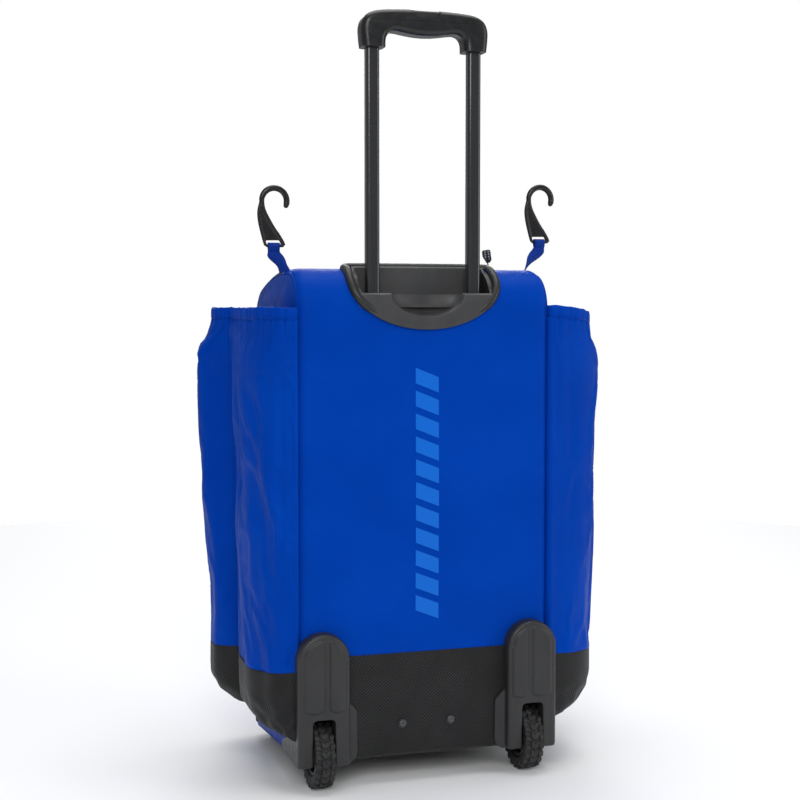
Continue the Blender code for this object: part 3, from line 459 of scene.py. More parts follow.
def thick(obj, depth, inside=None):
    """Gives a sheet its thickness, inwards; its inner face may have a look of its own."""
    if inside:
        obj.data.materials.append(LOOKS[inside])
    modifier(obj, "SOLIDIFY", thickness=depth, offset=-1.0, use_rim=True, material_offset=1 if inside else 0)
    return baked(obj)


def without(obj, doomed):
    """Deletes the faces whose middle is in a place where the piece has a hole."""
    bm = bmesh.new()
    bm.from_mesh(obj.data)
    gone = [face for face in bm.faces if doomed(face.calc_center_median())]
    bmesh.ops.delete(bm, geom=gone, context="FACES")
    bm.to_mesh(obj.data)
    bm.free()
    return obj


def fit_out(obj, body, slot, *nodes):
    """Rides on a body and stands for the CAD nodes given; the slot is not used."""
    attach(obj, body)
    if nodes:
        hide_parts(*nodes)
    return obj


def tube_along(name, line, radius, look, closed=False, sides=10):
    """A round cord along a line, its section turned with the line and never twisted."""
    line = [Vector(p) for p in line]
    count = len(line)
    rings = []
    side = None
    for i, point in enumerate(line):
        before = line[i - 1] if i or closed else point
        after = line[(i + 1) % count] if i < count - 1 or closed else point
        ahead = (after - before).normalized()
        if side is None:
            side = ahead.orthogonal().normalized()
        side = (side - ahead * side.dot(ahead)).normalized()
        up = ahead.cross(side)
        r = radius(i / (count - 1)) if callable(radius) else radius
        angles = [2 * math.pi * k / sides for k in range(sides)]
        rings.append([point + side * r * math.cos(a) + up * r * math.sin(a) for a in angles])
    obj = surface(name, rings, look, closed_rows=closed, closed_columns=True)
    if not closed:
        capped(obj)
    return obj


def capped(obj):
    """Closes open ends with a fan."""
    bm = bmesh.new()
    bm.from_mesh(obj.data)
    bmesh.ops.holes_fill(bm, edges=[e for e in bm.edges if e.is_boundary])
    bmesh.ops.recalc_face_normals(bm, faces=bm.faces)
    bm.to_mesh(obj.data)
    bm.free()
    return obj


def prism(name, outline, facing, span, look, bevel=0.0, segments=3, crisp=None):
    """An outline with its face along x, y or z, as thick as span, with rounded edges. Edges where
    crisp(middle) is true stay sharp."""
    axis = "xyz".index(facing)
    others = [k for k in range(3) if k != axis]
    bm = bmesh.new()
    ring = []
    for a, b in outline:
        place = [0.0, 0.0, 0.0]
        place[axis], place[others[0]], place[others[1]] = span[0], a, b
        ring.append(bm.verts.new(place))
    face = bm.faces.new(ring)
    grown = bmesh.ops.extrude_face_region(bm, geom=[face])
    move = Vector((0, 0, 0))
    move[axis] = span[1] - span[0]
    bmesh.ops.translate(bm, vec=move, verts=[v for v in grown["geom"] if isinstance(v, bmesh.types.BMVert)])
    bmesh.ops.recalc_face_normals(bm, faces=bm.faces)
    if bevel:
        edges = []
        for edge in bm.edges:
            middle = (edge.verts[0].co + edge.verts[1].co) / 2
            if edge.calc_face_angle() > math.radians(35) and not (crisp and crisp(middle)):
                edges.append(edge)
        bmesh.ops.bevel(
            bm, geom=edges, offset=bevel, segments=segments, profile=0.5, affect="EDGES", clamp_overlap=True
        )
    data = bpy.data.meshes.new(name)
    bm.to_mesh(data)
    bm.free()
    data.shade_smooth()
    data.set_sharp_from_angle(angle=math.radians(38))
    obj = link_mesh(name, data, look)
    box_cloth(obj)
    return obj


def block(name, corner, other, look, bevel=0.0, segments=2):
    """A box between two corners, with rounded edges."""
    outline = [(corner[0], corner[1]), (other[0], corner[1]), (other[0], other[1]), (corner[0], other[1])]
    return prism(name, outline, "z", (corner[2], other[2]), look, bevel, segments)


def box_cloth(obj):
    """A cloth map in metres, seen along the axis that each face is nearest to."""
    data = obj.data
    cloth = data.uv_layers.get("cloth") or data.uv_layers.new(name="cloth")
    for face in data.polygons:
        axis = max(range(3), key=lambda k: abs(face.normal[k]))
        others = [k for k in range(3) if k != axis]
        for index in face.loop_indices:
            place = data.vertices[data.loops[index].vertex_index].co
            cloth.data[index].uv = (place[others[0]], place[others[1]])
    return obj


def joined(name, parts, look):
    """Several pieces in one mesh."""
    bm = bmesh.new()
    for part in parts:
        part.data.transform(part.matrix_world)
        bm.from_mesh(part.data)
        bpy.data.objects.remove(part, do_unlink=True)
    data = bpy.data.meshes.new(name)
    bm.to_mesh(data)
    bm.free()
    return link_mesh(name, data, look)


def moulded(name, parts, look, voxel=0.0012, smooth=4):
    """Overlapping solids melted into one moulding, with soft fillets where they meet."""
    obj = joined(name, parts, look)
    modifier(obj, "REMESH", mode="VOXEL", voxel_size=voxel, use_smooth_shade=True)
    modifier(obj, "SMOOTH", factor=0.5, iterations=smooth)
    obj = baked(obj)
    obj.data.shade_smooth()
    return obj


def cut_by(obj, *cutters):
    """Cuts solids out of a piece and removes them."""
    for cutter in cutters:
        modifier(obj, "BOOLEAN", operation="DIFFERENCE", object=cutter, solver="EXACT")
    baked(obj)
    for cutter in cutters:
        bpy.data.objects.remove(cutter, do_unlink=True)
    return obj


def settled(obj, pinned, pressure, cap, frames=20, growth=0.0):
    """Swells a sheet as cloth under pressure from inside, and limits how far each point goes."""
    start = np.array([v.co for v in obj.data.vertices])
    group = obj.vertex_groups.new(name="pinned")
    group.add(pinned, 1.0, "REPLACE")
    cloth = obj.modifiers.new("Cloth", "CLOTH")
    cloth.settings.vertex_group_mass = "pinned"
    cloth.settings.use_pressure = True
    cloth.settings.uniform_pressure_force = pressure
    cloth.settings.effector_weights.gravity = 0
    cloth.settings.shrink_min = -growth
    cloth.settings.mass = 0.3
    cloth.settings.quality = 5
    cloth.collision_settings.use_collision = False
    cloth.collision_settings.use_self_collision = False
    cloth.point_cache.frame_start = 1
    cloth.point_cache.frame_end = frames
    for number in range(1, frames + 1):
        bpy.context.scene.frame_set(number)
    baked(obj)
    bpy.context.scene.frame_set(1)
    moved = np.array([v.co for v in obj.data.vertices]) - start
    far = np.maximum(np.linalg.norm(moved, axis=1), 1e-9)
    moved *= (cap * np.tanh(far / cap) / far)[:, None]
    obj.data.vertices.foreach_set("co", (start + moved).ravel())
    obj.vertex_groups.clear()
    return obj


# ---------------------------------------------------------------- outline of the fabric body
def base_z(y):
    """Height of the sloping base."""
    return BASE_BACK_Z + (BASE_FRONT_Z - BASE_BACK_Z) * (y - BACK_Y) / (FRONT_Y - BACK_Y)


def crown_z(y):
    """Height of the top, which falls a little towards the front."""
    return TOP_Z - max(0.0, y - CROWN_Y) ** 2 / (2 * CROWN_RADIUS)


def base_corner(y_wall, start, stop):
    """The rounding between an upright wall and the sloping base."""
    slope = math.atan2(BASE_BACK_Z - BASE_FRONT_Z, FRONT_Y - BACK_Y)
    y = y_wall - math.copysign(BASE_RADIUS, y_wall)
    return arc_points((y, base_z(y) + BASE_RADIUS / math.cos(slope)), BASE_RADIUS, start, stop, 8)


def brow_points():
    """The rounding from the top into the upright front."""
    fall = math.atan((BROW_Y - CROWN_Y) / CROWN_RADIUS)
    radius = (FRONT_Y - BROW_Y) / (1 - math.sin(fall))
    centre = (FRONT_Y - radius, crown_z(BROW_Y) - radius * math.cos(fall))
    return arc_points(centre, radius, 90 - math.degrees(fall), 0, 10)[1:]


def body_outline():
    """Side view of the body, (y, z), from under the back corner up, over and back along the base."""
    tilt = 95.2
    points = base_corner(BACK_Y, 360 - tilt, 180)
    points += arc_points((BACK_Y + BACK_RADIUS, TOP_Z - BACK_RADIUS), BACK_RADIUS, 180, 90, 12)
    points += [(y, crown_z(y)) for y in np.linspace(CROWN_Y, BROW_Y, 12)]
    points += brow_points()
    points += base_corner(FRONT_Y, 0, -tilt)
    return points


def closest(outline, y=None, z=None, after=0, before=None):
    """Index of the outline point nearest to a given y or z, between two indices."""
    part = outline[after:before]
    miss = np.abs(part[:, 0] - y) if z is None else np.abs(part[:, 1] - z)
    return after + int(np.argmin(miss))


OUTLINE = resampled(body_outline() + [body_outline()[0]], 0.003)[:-1]
TOP_INDEX = closest(OUTLINE, y=-0.09, before=int(len(OUTLINE) * 0.55))
LOWER_INDEX = closest(OUTLINE, z=LOWER_TOP_Z, before=TOP_INDEX)
ZIP_INDEX = closest(OUTLINE, y=ZIP_Y, after=LOWER_INDEX, before=int(len(OUTLINE) * 0.6))
APRON_INDEX = closest(OUTLINE, z=high("front_apron").z, after=ZIP_INDEX + 40, before=int(len(OUTLINE) * 0.88))
FRONT_FOOT_INDEX = closest(OUTLINE, z=0.034, after=ZIP_INDEX + 40, before=int(len(OUTLINE) * 0.88))


def outward(path, closed=False):
    """Unit normals of a line that runs up the back, as (y, z)."""
    if closed:
        step = np.roll(path, -1, axis=0) - np.roll(path, 1, axis=0)
    else:
        step = np.gradient(path, axis=0)
    step /= np.linalg.norm(step, axis=1)[:, None]
    return np.stack([-step[:, 1], step[:, 0]], axis=1)


def across_of(x):
    """Distance over the rounded edge to where the surface reaches x."""
    return x if x <= FLAT_X else FLAT_X + EDGE * math.asin(min(1.0, (x - FLAT_X) / EDGE))


def round_the_edge(across, lift):
    """The x, and the depth below the outline, of places at a distance across the body and lifted off it."""
    angle = np.clip((np.abs(across) - FLAT_X) / EDGE, 0, None)
    x = np.sign(across) * (np.minimum(np.abs(across), FLAT_X) + (EDGE + lift) * np.sin(angle))
    return x, EDGE - (EDGE + lift) * np.cos(angle)


def skin(path, across, lift=0.0):
    """Points on the body: rows along a stretch of its outline, columns across it and round the edges."""
    normals = outward(path)
    across = np.broadcast_to(np.asarray(across, float), (len(path), np.shape(across)[-1]))
    x, fall = round_the_edge(across, lift)
    y = path[:, :1] - normals[:, :1] * fall
    z = path[:, 1:] - normals[:, 1:] * fall
    return np.stack([x, y, z], axis=2)


def across_columns(limit, count=48):
    """Columns from side to side, closer together where the edges round."""
    half = np.concatenate([np.linspace(0, FLAT_X, count // 2, endpoint=False), np.linspace(FLAT_X, limit, 8)])
    return np.concatenate([-half[:0:-1], half])


# ---------------------------------------------------------------- fabric body
BACK_BULGE = 0.003          # how far the stuffed back stands out in its middle
BULGE_TOP_Z = 0.66
BULGE_RISE = 0.25           # height over which the bulge grows and dies away
HOLES = ((0.099, 0.6985), (0.062, 0.6760))      # half width and foot of the openings behind the cup
HOLES_FRONT_Y = -0.1035
WHEEL_OPENING = ((0.1410, -0.20, -0.02), (0.1770, -0.0750, 0.1095))     # corners on the right side


def bulge(x, z):
    """How far the stuffed back stands out of its outline."""
    full = np.clip((z - LOWER_TOP_Z) / BULGE_RISE, 0, 1) * np.clip((BULGE_TOP_Z - z) / BULGE_RISE, 0, 1)
    return BACK_BULGE * full * np.clip(1 - (x / HALF_WIDTH) ** 2, 0, 1)


def back_panel():
    """The long blue panel up the back and over to the zip, open where the handle cup sits."""
    path = OUTLINE[LOWER_INDEX:ZIP_INDEX - 1]
    points = skin(path, across_columns(SEAM_ACROSS))
    points[..., 1] -= bulge(points[..., 0], points[..., 2])
    obj = surface("back_panel", points, "blue")
    for half_x, foot_z in HOLES:
        without(obj, lambda p: abs(p.x) < half_x and p.z > foot_z and p.y < HOLES_FRONT_Y)
    thick(obj, CLOTH, "lining")
    return fit_out(obj, "body", "blue_fabric", "spine_panel")


def wheel_openings():
    """Cutters for the openings that the wells of the two wheels sit in."""
    (x_in, y_back, z_low), (x_out, y_front, z_high) = WHEEL_OPENING
    return [block("opening", (sign * x_in, y_back, z_low), (sign * x_out, y_front, z_high), "weave")
            for sign in SIDES.values()]


def weave_panel(name, path, lift, cutters, node):
    """A black panel over a stretch of the outline, from seam to seam."""
    obj = surface(name, skin(path, across_columns(SEAM_ACROSS), lift), "weave")
    thick(obj, CLOTH, "lining")
    if cutters:
        cut_by(obj, *cutters)
    return fit_out(obj, "body", "black_weave", node)


def black_panels():
    """The lower back, the base and the apron; the first two are open where the wheels sit."""
    weave_panel("lower_back", OUTLINE[3:LOWER_INDEX + 2], -0.0006, wheel_openings(), "lower_back_panel")
    base = np.concatenate([OUTLINE[FRONT_FOOT_INDEX - 1:], OUTLINE[:5]])
    weave_panel("base", base, -0.0008, wheel_openings(), "base_panel")
    weave_panel("apron", OUTLINE[APRON_INDEX:FRONT_FOOT_INDEX + 2], 0.0, (), "front_apron")


def side_panel(side, sign):
    """A blue side: it starts on the rounded edge, turns in flat and bellies out a little in the middle."""
    normals = outward(OUTLINE, closed=True)
    centre = np.array((0.0, 0.38))
    rings = []
    for angle in np.linspace(SEAM_ANGLE, math.pi / 2, 6):
        inset = OUTLINE - normals * EDGE * (1 - math.cos(angle))
        x = np.full(len(OUTLINE), FLAT_X + EDGE * math.sin(angle))
        rings.append(np.stack([x, inset[:, 0], inset[:, 1]], axis=1))
    inset = OUTLINE - normals * EDGE
    for reach in np.linspace(0.96, 0.02, 24):
        place = centre + (inset - centre) * reach
        swell = 0.005 + 0.010 * np.clip((place[:, 1] - 0.50) / 0.15, 0, 1)
        belly = swell * (1 - reach**10)
        x = np.full(len(OUTLINE), HALF_WIDTH + belly)
        rings.append(np.stack([x, place[:, 0], place[:, 1]], axis=1))
    rings = np.array(rings)
    rings[..., 0] *= sign
    obj = surface(f"side_{side}", rings, "blue", closed_columns=True, flip=sign > 0)
    box_cloth(capped(obj))
    thick(obj, CLOTH, "lining")
    return fit_out(obj, "body", "blue_fabric", f"side_panel_{side}")


def piping():
    """The bound seam round each side, where the panels meet."""
    line = OUTLINE - outward(OUTLINE, closed=True) * SEAM_DROP
    for side, sign in SIDES.items():
        points = [(sign * SEAM_X, y, z) for y, z in line]
        obj = tube_along(f"seam_{side}", points, 0.0013, "blue", closed=True, sides=8)
        fit_out(obj, "body", "blue_fabric")


def tonal_figure():
    """A column of plain slanted bars, printed up the middle of the back."""
    width, height, gap, slant = 0.0175, 0.0225, 0.0105, 0.007
    bottom = 0.246
    bars = []
    for i in range(11):
        z = bottom + i * (height + gap)
        corners = [(-width, z + slant), (width, z - slant), (width, z - slant + height),
                   (-width, z + slant + height)]
        bars.append(prism("bar", corners, "y", (-0.0005, 0.0), "print"))
    obj = joined("tonal_figure", bars, "print")
    box_cloth(obj)
    for vert in obj.data.vertices:
        vert.co.y += BACK_Y - 0.0001 - float(bulge(vert.co.x, vert.co.z))
    return fit_out(obj, "body", "blue_fabric")


# ---------------------------------------------------------------- bat sleeves
BACK_LOBE, FRONT_LOBE = (-0.045, 0.1045), (0.090, 0.060)     # middle and half length
LOBE_POWER = 2.2
VALLEY_Y = 0.041
WALL_X = HALF_WIDTH + 0.0006
SLEEVE_TOP_Z = high("bat_pocket_right").z
HEM_TOP_Z = high("pocket_hem_right").z
BOOT_TOP_Z = high("pocket_boot_right").z
BOOT_LOW_Z = low("pocket_boot_right").z
SLEEVE_COLUMNS = 190
# How far each lobe stands out, as (height, depth). The cloth hangs differently on the two sides.
FULLNESS = {
    -1: (((0.17, 0.0560), (0.36, 0.0600), (0.60, 0.0625), (SLEEVE_TOP_Z, 0.0560)),
         ((0.17, 0.0790), (0.40, 0.0900), (0.615, 0.0975), (SLEEVE_TOP_Z, 0.0740))),
    1: (((0.17, 0.0990), (0.36, 0.1080), (0.60, 0.1100), (SLEEVE_TOP_Z, 0.0950)),
        ((0.17, 0.0830), (0.40, 0.0930), (0.60, 0.0960), (SLEEVE_TOP_Z, 0.0800))),
}


def smoothstep(start, stop, value):
    """A soft step from 0 at start to 1 at stop."""
    t = np.clip((value - start) / (stop - start), 0, 1)
    return t * t * (3 - 2 * t)


def eased(table, value):
    """A table of (place, amount) read with a soft step from each entry to the next."""
    result = np.full(np.shape(value), table[0][1], float)
    for (start, first), (stop, second) in zip(table, table[1:]):
        result = result + (second - first) * smoothstep(start, stop, value)
    return result


def lobe_line():
    """Plan of the two lobes from back to front: (y, share of the full depth), evenly spaced."""
    points = []
    for middle, half in (BACK_LOBE, FRONT_LOBE):
        for angle in np.linspace(0, math.pi, 90):
            y = middle - half * math.copysign(abs(math.cos(angle)) ** (2 / LOBE_POWER), math.cos(angle))
            out = math.sin(angle) ** (2 / LOBE_POWER)
            if (y < VALLEY_Y) == (middle < VALLEY_Y):
                points.append((y, out))
    scaled = resampled([(y, out * 0.1) for y, out in points], 0.0005)
    even = np.linspace(0, len(scaled) - 1, SLEEVE_COLUMNS)
    return np.stack([np.interp(even, range(len(scaled)), scaled[:, 0]),
                     np.interp(even, range(len(scaled)), scaled[:, 1]) * 10], axis=1)


LOBE_LINE = lobe_line()
LOBE_STEPS = np.hypot(np.diff(LOBE_LINE[:, 0]), np.diff(LOBE_LINE[:, 1]) * 0.1)
LOBE_RUN = np.concatenate([[0.0], np.cumsum(LOBE_STEPS)])


def front_seam_y(z):
    """The body's front at a height, at the seam on its rounded edge."""
    part = slice(FRONT_FOOT_INDEX, TOP_INDEX + 60, -1)
    return np.interp(z, OUTLINE[part, 1], OUTLINE[part, 0]) - SEAM_DROP


def sleeve_depth(sign, z):
    """Depth of the sleeve over its plan: each lobe's own fullness, drawn in at the foot."""
    back, front = (eased(table, z) for table in FULLNESS[sign])
    share = smoothstep(VALLEY_Y - 0.028, VALLEY_Y + 0.034, LOBE_LINE[:, 0])
    foot = np.clip((0.142 - z) / (0.142 - BOOT_LOW_Z), 0, 1)
    return (back + (front - back) * share) * (1 - foot**2.3) ** (1 / 2.3)


def pleats(seed):
    """Gathers under the hem, as (place along the sleeve, depth, width, how far down it runs)."""
    random = np.random.default_rng(seed)
    places = np.arange(0.014, LOBE_RUN[-1] - 0.01, 0.0165)
    return [(place + random.uniform(-0.004, 0.004), random.uniform(0.0022, 0.0048),
             random.uniform(0.0030, 0.0050), random.uniform(0.012, 0.034)) for place in places]


def creases(sign, seed):
    """Long soft folds, as (place, drift with height, depth, width, middle height, half height)."""
    random = np.random.default_rng(seed)
    broad = 0.092 if sign < 0 else 0.120
    found = [(broad, 0.02, 0.0062, 0.021, 0.36, 0.24), (broad + 0.075, -0.03, 0.0030, 0.012, 0.48, 0.16),
             (0.290, -0.05, 0.0046, 0.013, 0.50, 0.13), (0.335, 0.06, 0.0040, 0.012, 0.30, 0.15)]
    for place in (0.030, 0.155, 0.245, 0.375):
        found.append((place + random.uniform(-0.006, 0.006), random.uniform(-0.05, 0.05),
                      random.uniform(0.0014, 0.0026), random.uniform(0.007, 0.011),
                      random.uniform(0.32, 0.56), random.uniform(0.10, 0.20)))
    return found


def sleeve_points(sign, heights, seed, lift=0.0, pucker=1.0):
    """Rows of the sleeve at the given heights, sewn at both ends into the seams on the body's rounded
    edges. A height may be an array over the columns."""
    rows = []
    for height in heights:
        z = np.broadcast_to(np.asarray(height, float), (SLEEVE_COLUMNS,))
        mouth = smoothstep(0.575, SLEEVE_TOP_Z, z)
        dip = np.exp(-(((LOBE_LINE[:, 0] - VALLEY_Y) / 0.0095) ** 2))
        bridge = np.exp(-(((LOBE_LINE[:, 0] - VALLEY_Y) / 0.034) ** 2))
        out = LOBE_LINE[:, 1] + mouth * 0.26 * bridge - (1 - mouth) * 0.22 * dip
        y_end = front_seam_y(z) + 0.0024
        stretch = (y_end - VALLEY_Y) / (sum(FRONT_LOBE) - VALLEY_Y)
        y = np.where(LOBE_LINE[:, 0] > VALLEY_Y, VALLEY_Y + (LOBE_LINE[:, 0] - VALLEY_Y) * stretch,
                     LOBE_LINE[:, 0])
        x = sleeve_depth(sign, z) * np.clip(out, 0, 1.0)
        tangent = np.stack([np.gradient(x), np.gradient(y)], axis=1)
        tangent /= np.maximum(np.linalg.norm(tangent, axis=1), 1e-9)[:, None]
        ends = smoothstep(0, 0.020, LOBE_RUN) * smoothstep(0, 0.020, LOBE_RUN[-1] - LOBE_RUN)
        below = np.clip(SLEEVE_TOP_Z - z, 0, 1)
        push = 0.0010 * pucker * np.exp(-below / 0.03)
        for place, depth, width, run in pleats(seed):
            push = push - depth * pucker * np.exp(-below / run) * np.exp(-(((LOBE_RUN - place) / width) ** 2))
        for place, drift, depth, width, middle, half in creases(sign, seed + 1):
            centre = place + drift * (z - middle)
            window = np.exp(-(((z - middle) / half) ** 2))
            push = push - depth * window * np.exp(-(((LOBE_RUN - centre) / width) ** 2))
            push = push + 0.4 * depth * window * np.exp(-(((LOBE_RUN - centre - 2 * width) / width) ** 2))
        crumple = smoothstep(0.15, 0.09, z) if z[0] < 0.2 else np.zeros(SLEEVE_COLUMNS)
        for k in range(SLEEVE_COLUMNS):
            push[k] += 0.0018 * noise.noise(Vector((LOBE_RUN[k] * 22, z[k] * 6.5, seed)))
            if crumple[k] > 0:
                push[k] += 0.0045 * crumple[k] * noise.noise(Vector((LOBE_RUN[k] * 38, z[k] * 60, seed + 9)))
        push = push * ends + lift
        x = np.maximum(x + tangent[:, 1] * push, -0.0002)
        y = y - tangent[:, 0] * push
        row = np.stack([WALL_X + x, y, z], axis=1)
        first = (SEAM_X - 0.0012, BACK_Y + SEAM_DROP + 0.0012, z[0])
        last = (SEAM_X - 0.0012, y_end[-1] - 0.0036, z[-1])
        row = np.vstack([first, row, last])
        row[:, 0] *= sign
        rows.append(row)
    return np.array(rows)


def boot_edge():
    """Height of the seam between the sleeve and its boot, which sags in the middle of each lobe."""
    share = np.linspace(0, 1, SLEEVE_COLUMNS)
    return BOOT_TOP_Z - 0.0015 - 0.0045 * np.sin(math.pi * share * 2) ** 2


def heights_between(bottom, top, count, power=1.0):
    """Heights of a sleeve's rows; a power under 1 draws them closer together towards the top."""
    return [bottom + (top - bottom) * share for share in np.linspace(0, 1, count) ** power]


def mouth_wave(sign, seed):
    """How the mouth rises and falls along the sleeve; on the right it also droops away from the body."""
    random = np.random.default_rng(seed + 5)
    share = np.linspace(0, 1, SLEEVE_COLUMNS + 2)
    wave = sum(random.uniform(0.2, 0.5) * 0.001 * np.sin(2 * math.pi * (n * share + random.uniform(0, 1)))
               for n in (2, 3, 5, 9, 14))
    if sign > 0:
        wave = wave + 0.003 - 0.011 * np.sin(math.pi * np.clip(share * 1.6, 0, 1)) ** 2
    return wave


def rim_indices(rows):
    """Vertices of a grid that are sewn down: its first and last rows, and three columns at each side."""
    count, columns = rows.shape[:2]
    return [i * columns + j for i in range(count) for j in range(columns)
            if i in (0, count - 1) or j < 3 or j > columns - 4]


def sleeve(side, sign, seed):
    """A bat sleeve with its boot of ballistic cloth and the seam between them."""
    edge = boot_edge()
    top = SLEEVE_TOP_Z - 0.001 + mouth_wave(sign, seed)[1:-1]
    rows = sleeve_points(sign, heights_between(edge, top, 104), seed)
    obj = surface(f"bat_sleeve_{side}", rows, "blue", flip=sign > 0)
    settled(obj, rim_indices(rows), 0.6, 0.0035, 12, 0.02)
    thick(obj, CLOTH * 0.7)
    fit_out(obj, "body", "blue_fabric", f"bat_pocket_{side}")
    boot_rows = sleeve_points(sign, heights_between(BOOT_LOW_Z + 0.0004, edge + 0.003, 44, 0.7), seed, 0.0012)
    boot = surface(f"boot_{side}", boot_rows, "weave", flip=sign > 0)
    thick(boot, CLOTH * 0.7)
    fit_out(boot, "body", "black_weave", f"pocket_boot_{side}")
    seam_row = sleeve_points(sign, [edge + 0.0028], seed, 0.0018)[0]
    seam = tube_along(f"boot_seam_{side}", seam_row, 0.0011, "weave", sides=6)
    fit_out(seam, "body", "black_weave")


def hem(side, sign, seed):
    """The elastic band round the mouth, folded over and gathered."""
    middle = (SLEEVE_TOP_Z + HEM_TOP_Z) / 2
    half = (HEM_TOP_Z - SLEEVE_TOP_Z) / 2 + 0.0012
    section = [(1.6, -1.0), (2.2, -0.5), (2.3, 0.1), (2.0, 0.7), (1.2, 1.02), (0.0, 1.1),
               (-1.2, 1.0), (-1.7, 0.5), (-1.8, -0.4), (-1.5, -1.0), (0.0, -1.1)]
    wave = mouth_wave(sign, seed)
    mouth = [np.full(SLEEVE_COLUMNS, SLEEVE_TOP_Z - 0.001)]
    rows = []
    for out, up in section:
        row = sleeve_points(sign, mouth, seed, out * 0.001, 0.55)[0]
        row[:, 2] = middle + half * up + wave
        rows.append(row)
    obj = surface(f"sleeve_hem_{side}", rows, "blue", closed_rows=True, flip=sign < 0)
    capped(obj)
    fit_out(obj, "body", "blue_fabric", f"pocket_hem_{side}")
    stitch = sleeve_points(sign, mouth, seed, 0.0022, 0.55)[0]
    stitch[:, 2] = SLEEVE_TOP_Z + 0.0012 + wave
    line = tube_along(f"hem_stitch_{side}", stitch, 0.0004, "blue", sides=6)
    fit_out(line, "body", "blue_fabric")


# ---------------------------------------------------------------- telescopic handle
TUBE_X = (low("inner_tube_right").x + high("inner_tube_right").x) / 2
TUBE_Y = (low("inner_tube_right").y + high("inner_tube_right").y) / 2
GRIP_HALF = high("grip_lower").x
GRIP_TOP_Z = high("grip_upper").z
GRIP_SPLIT_Z = high("grip_lower").z
COLLAR_LOW_Z = low("grip_lower").z
COLLAR_HALF = 0.0175
BUTTON_HALF = high("release_button").x
BUTTON_BACK_Y = TUBE_Y - 0.0152
BUTTON_TRAVEL = 0.005


def rounded_section(width, depth, radius, crown=0.0, steps=7):
    """A rounded rectangle about the origin whose long faces may bow outwards."""
    points = []
    for across, up, start in ((1, 1, 0), (-1, 1, 90), (-1, -1, 180), (1, -1, 270)):
        centre = (across * (width / 2 - radius), up * (depth / 2 - radius))
        points += arc_points(centre, radius, start, start + 90, steps)
    line = resampled(points + [points[0]], 0.0009)[:-1]
    bow = crown * (1 - (line[:, 0] / (width / 2)) ** 2)
    line[:, 1] += np.sign(line[:, 1]) * np.clip(bow, 0, None)
    return line


def inner_tube(side, sign):
    """A drawn tube with round corners and slightly bowed faces."""
    bottom, top = low(f"inner_tube_{side}").z, high(f"inner_tube_{side}").z
    outer = rounded_section(0.020, 0.0166, 0.0048, 0.0002)
    inner = outer * 0.86
    rows = []
    for section, z in ((outer, bottom), (outer, top), (inner, top), (inner, bottom)):
        rows.append(np.stack([section[:, 0] + sign * TUBE_X, section[:, 1] + TUBE_Y,
                              np.full(len(section), z)], axis=1))
    obj = surface(f"telescopic_tube_{side}", rows, "enamel", closed_rows=True, closed_columns=True)
    crease_at(obj, 50)
    return fit_out(obj, "handle", "gloss_enamel", f"inner_tube_{side}")


def grip_outline():
    """Half of the grip's front view, from the middle of the top round to the middle of the underside."""
    top = [(0.0, GRIP_TOP_Z), (0.030, GRIP_TOP_Z - 0.0003), (0.055, GRIP_TOP_Z - 0.0016),
           (0.072, GRIP_TOP_Z - 0.0036), (0.084, GRIP_TOP_Z - 0.0080), (0.0915, GRIP_TOP_Z - 0.0155),
           (GRIP_HALF, GRIP_TOP_Z - 0.0270), (GRIP_HALF - 0.0005, GRIP_TOP_Z - 0.042),
           (TUBE_X + COLLAR_HALF - 0.001, COLLAR_LOW_Z)]
    inside = [(TUBE_X - COLLAR_HALF, COLLAR_LOW_Z), (0.0585, COLLAR_LOW_Z + 0.011), (0.0560, 1.0775),
              (0.0510, 1.0815), (0.0440, 1.0828), (0.030, 1.0808), (0.015, 1.0788), (0.0, 1.0780)]
    line = [tuple(p)[:2] for p in rounded_line([(x, z, 0) for x, z in top], 4)]
    line += [tuple(p)[:2] for p in rounded_line([(x, z, 0) for x, z in inside], 4)]
    return line + [(-x, z) for x, z in reversed(line[1:-1])]


def sliced(name, source, look, bottom, top):
    """The part of a solid between two heights, with its cuts closed."""
    bm = bmesh.new()
    bm.from_mesh(source.data)
    for height, normal in ((bottom, (0, 0, -1)), (top, (0, 0, 1))):
        everything = bm.verts[:] + bm.edges[:] + bm.faces[:]
        cut = bmesh.ops.bisect_plane(
            bm, geom=everything, plane_co=(0, 0, height), plane_no=normal, clear_outer=True
        )
        rim = [e for e in cut["geom_cut"] if isinstance(e, bmesh.types.BMEdge)]
        if rim:
            bmesh.ops.holes_fill(bm, edges=rim)
    bmesh.ops.recalc_face_normals(bm, faces=bm.faces)
    data = bpy.data.meshes.new(name)
    bm.to_mesh(data)
    bm.free()
    data.set_sharp_from_angle(angle=math.radians(40))
    return link_mesh(name, data, look)


def half_moon(name, half_x, fall, span):
    """A round-bottomed shape that hangs from the top of the grip, as deep as span along y."""
    top = GRIP_TOP_Z + 0.004
    outline = [(-half_x, top), (half_x, top)]
    outline += [(half_x * x, GRIP_TOP_Z - 0.0010 + fall * z) for x, z in arc_points((0, 0), 1.0, 0, -180, 40)]
    return prism(name, outline, "y", span, "grip")


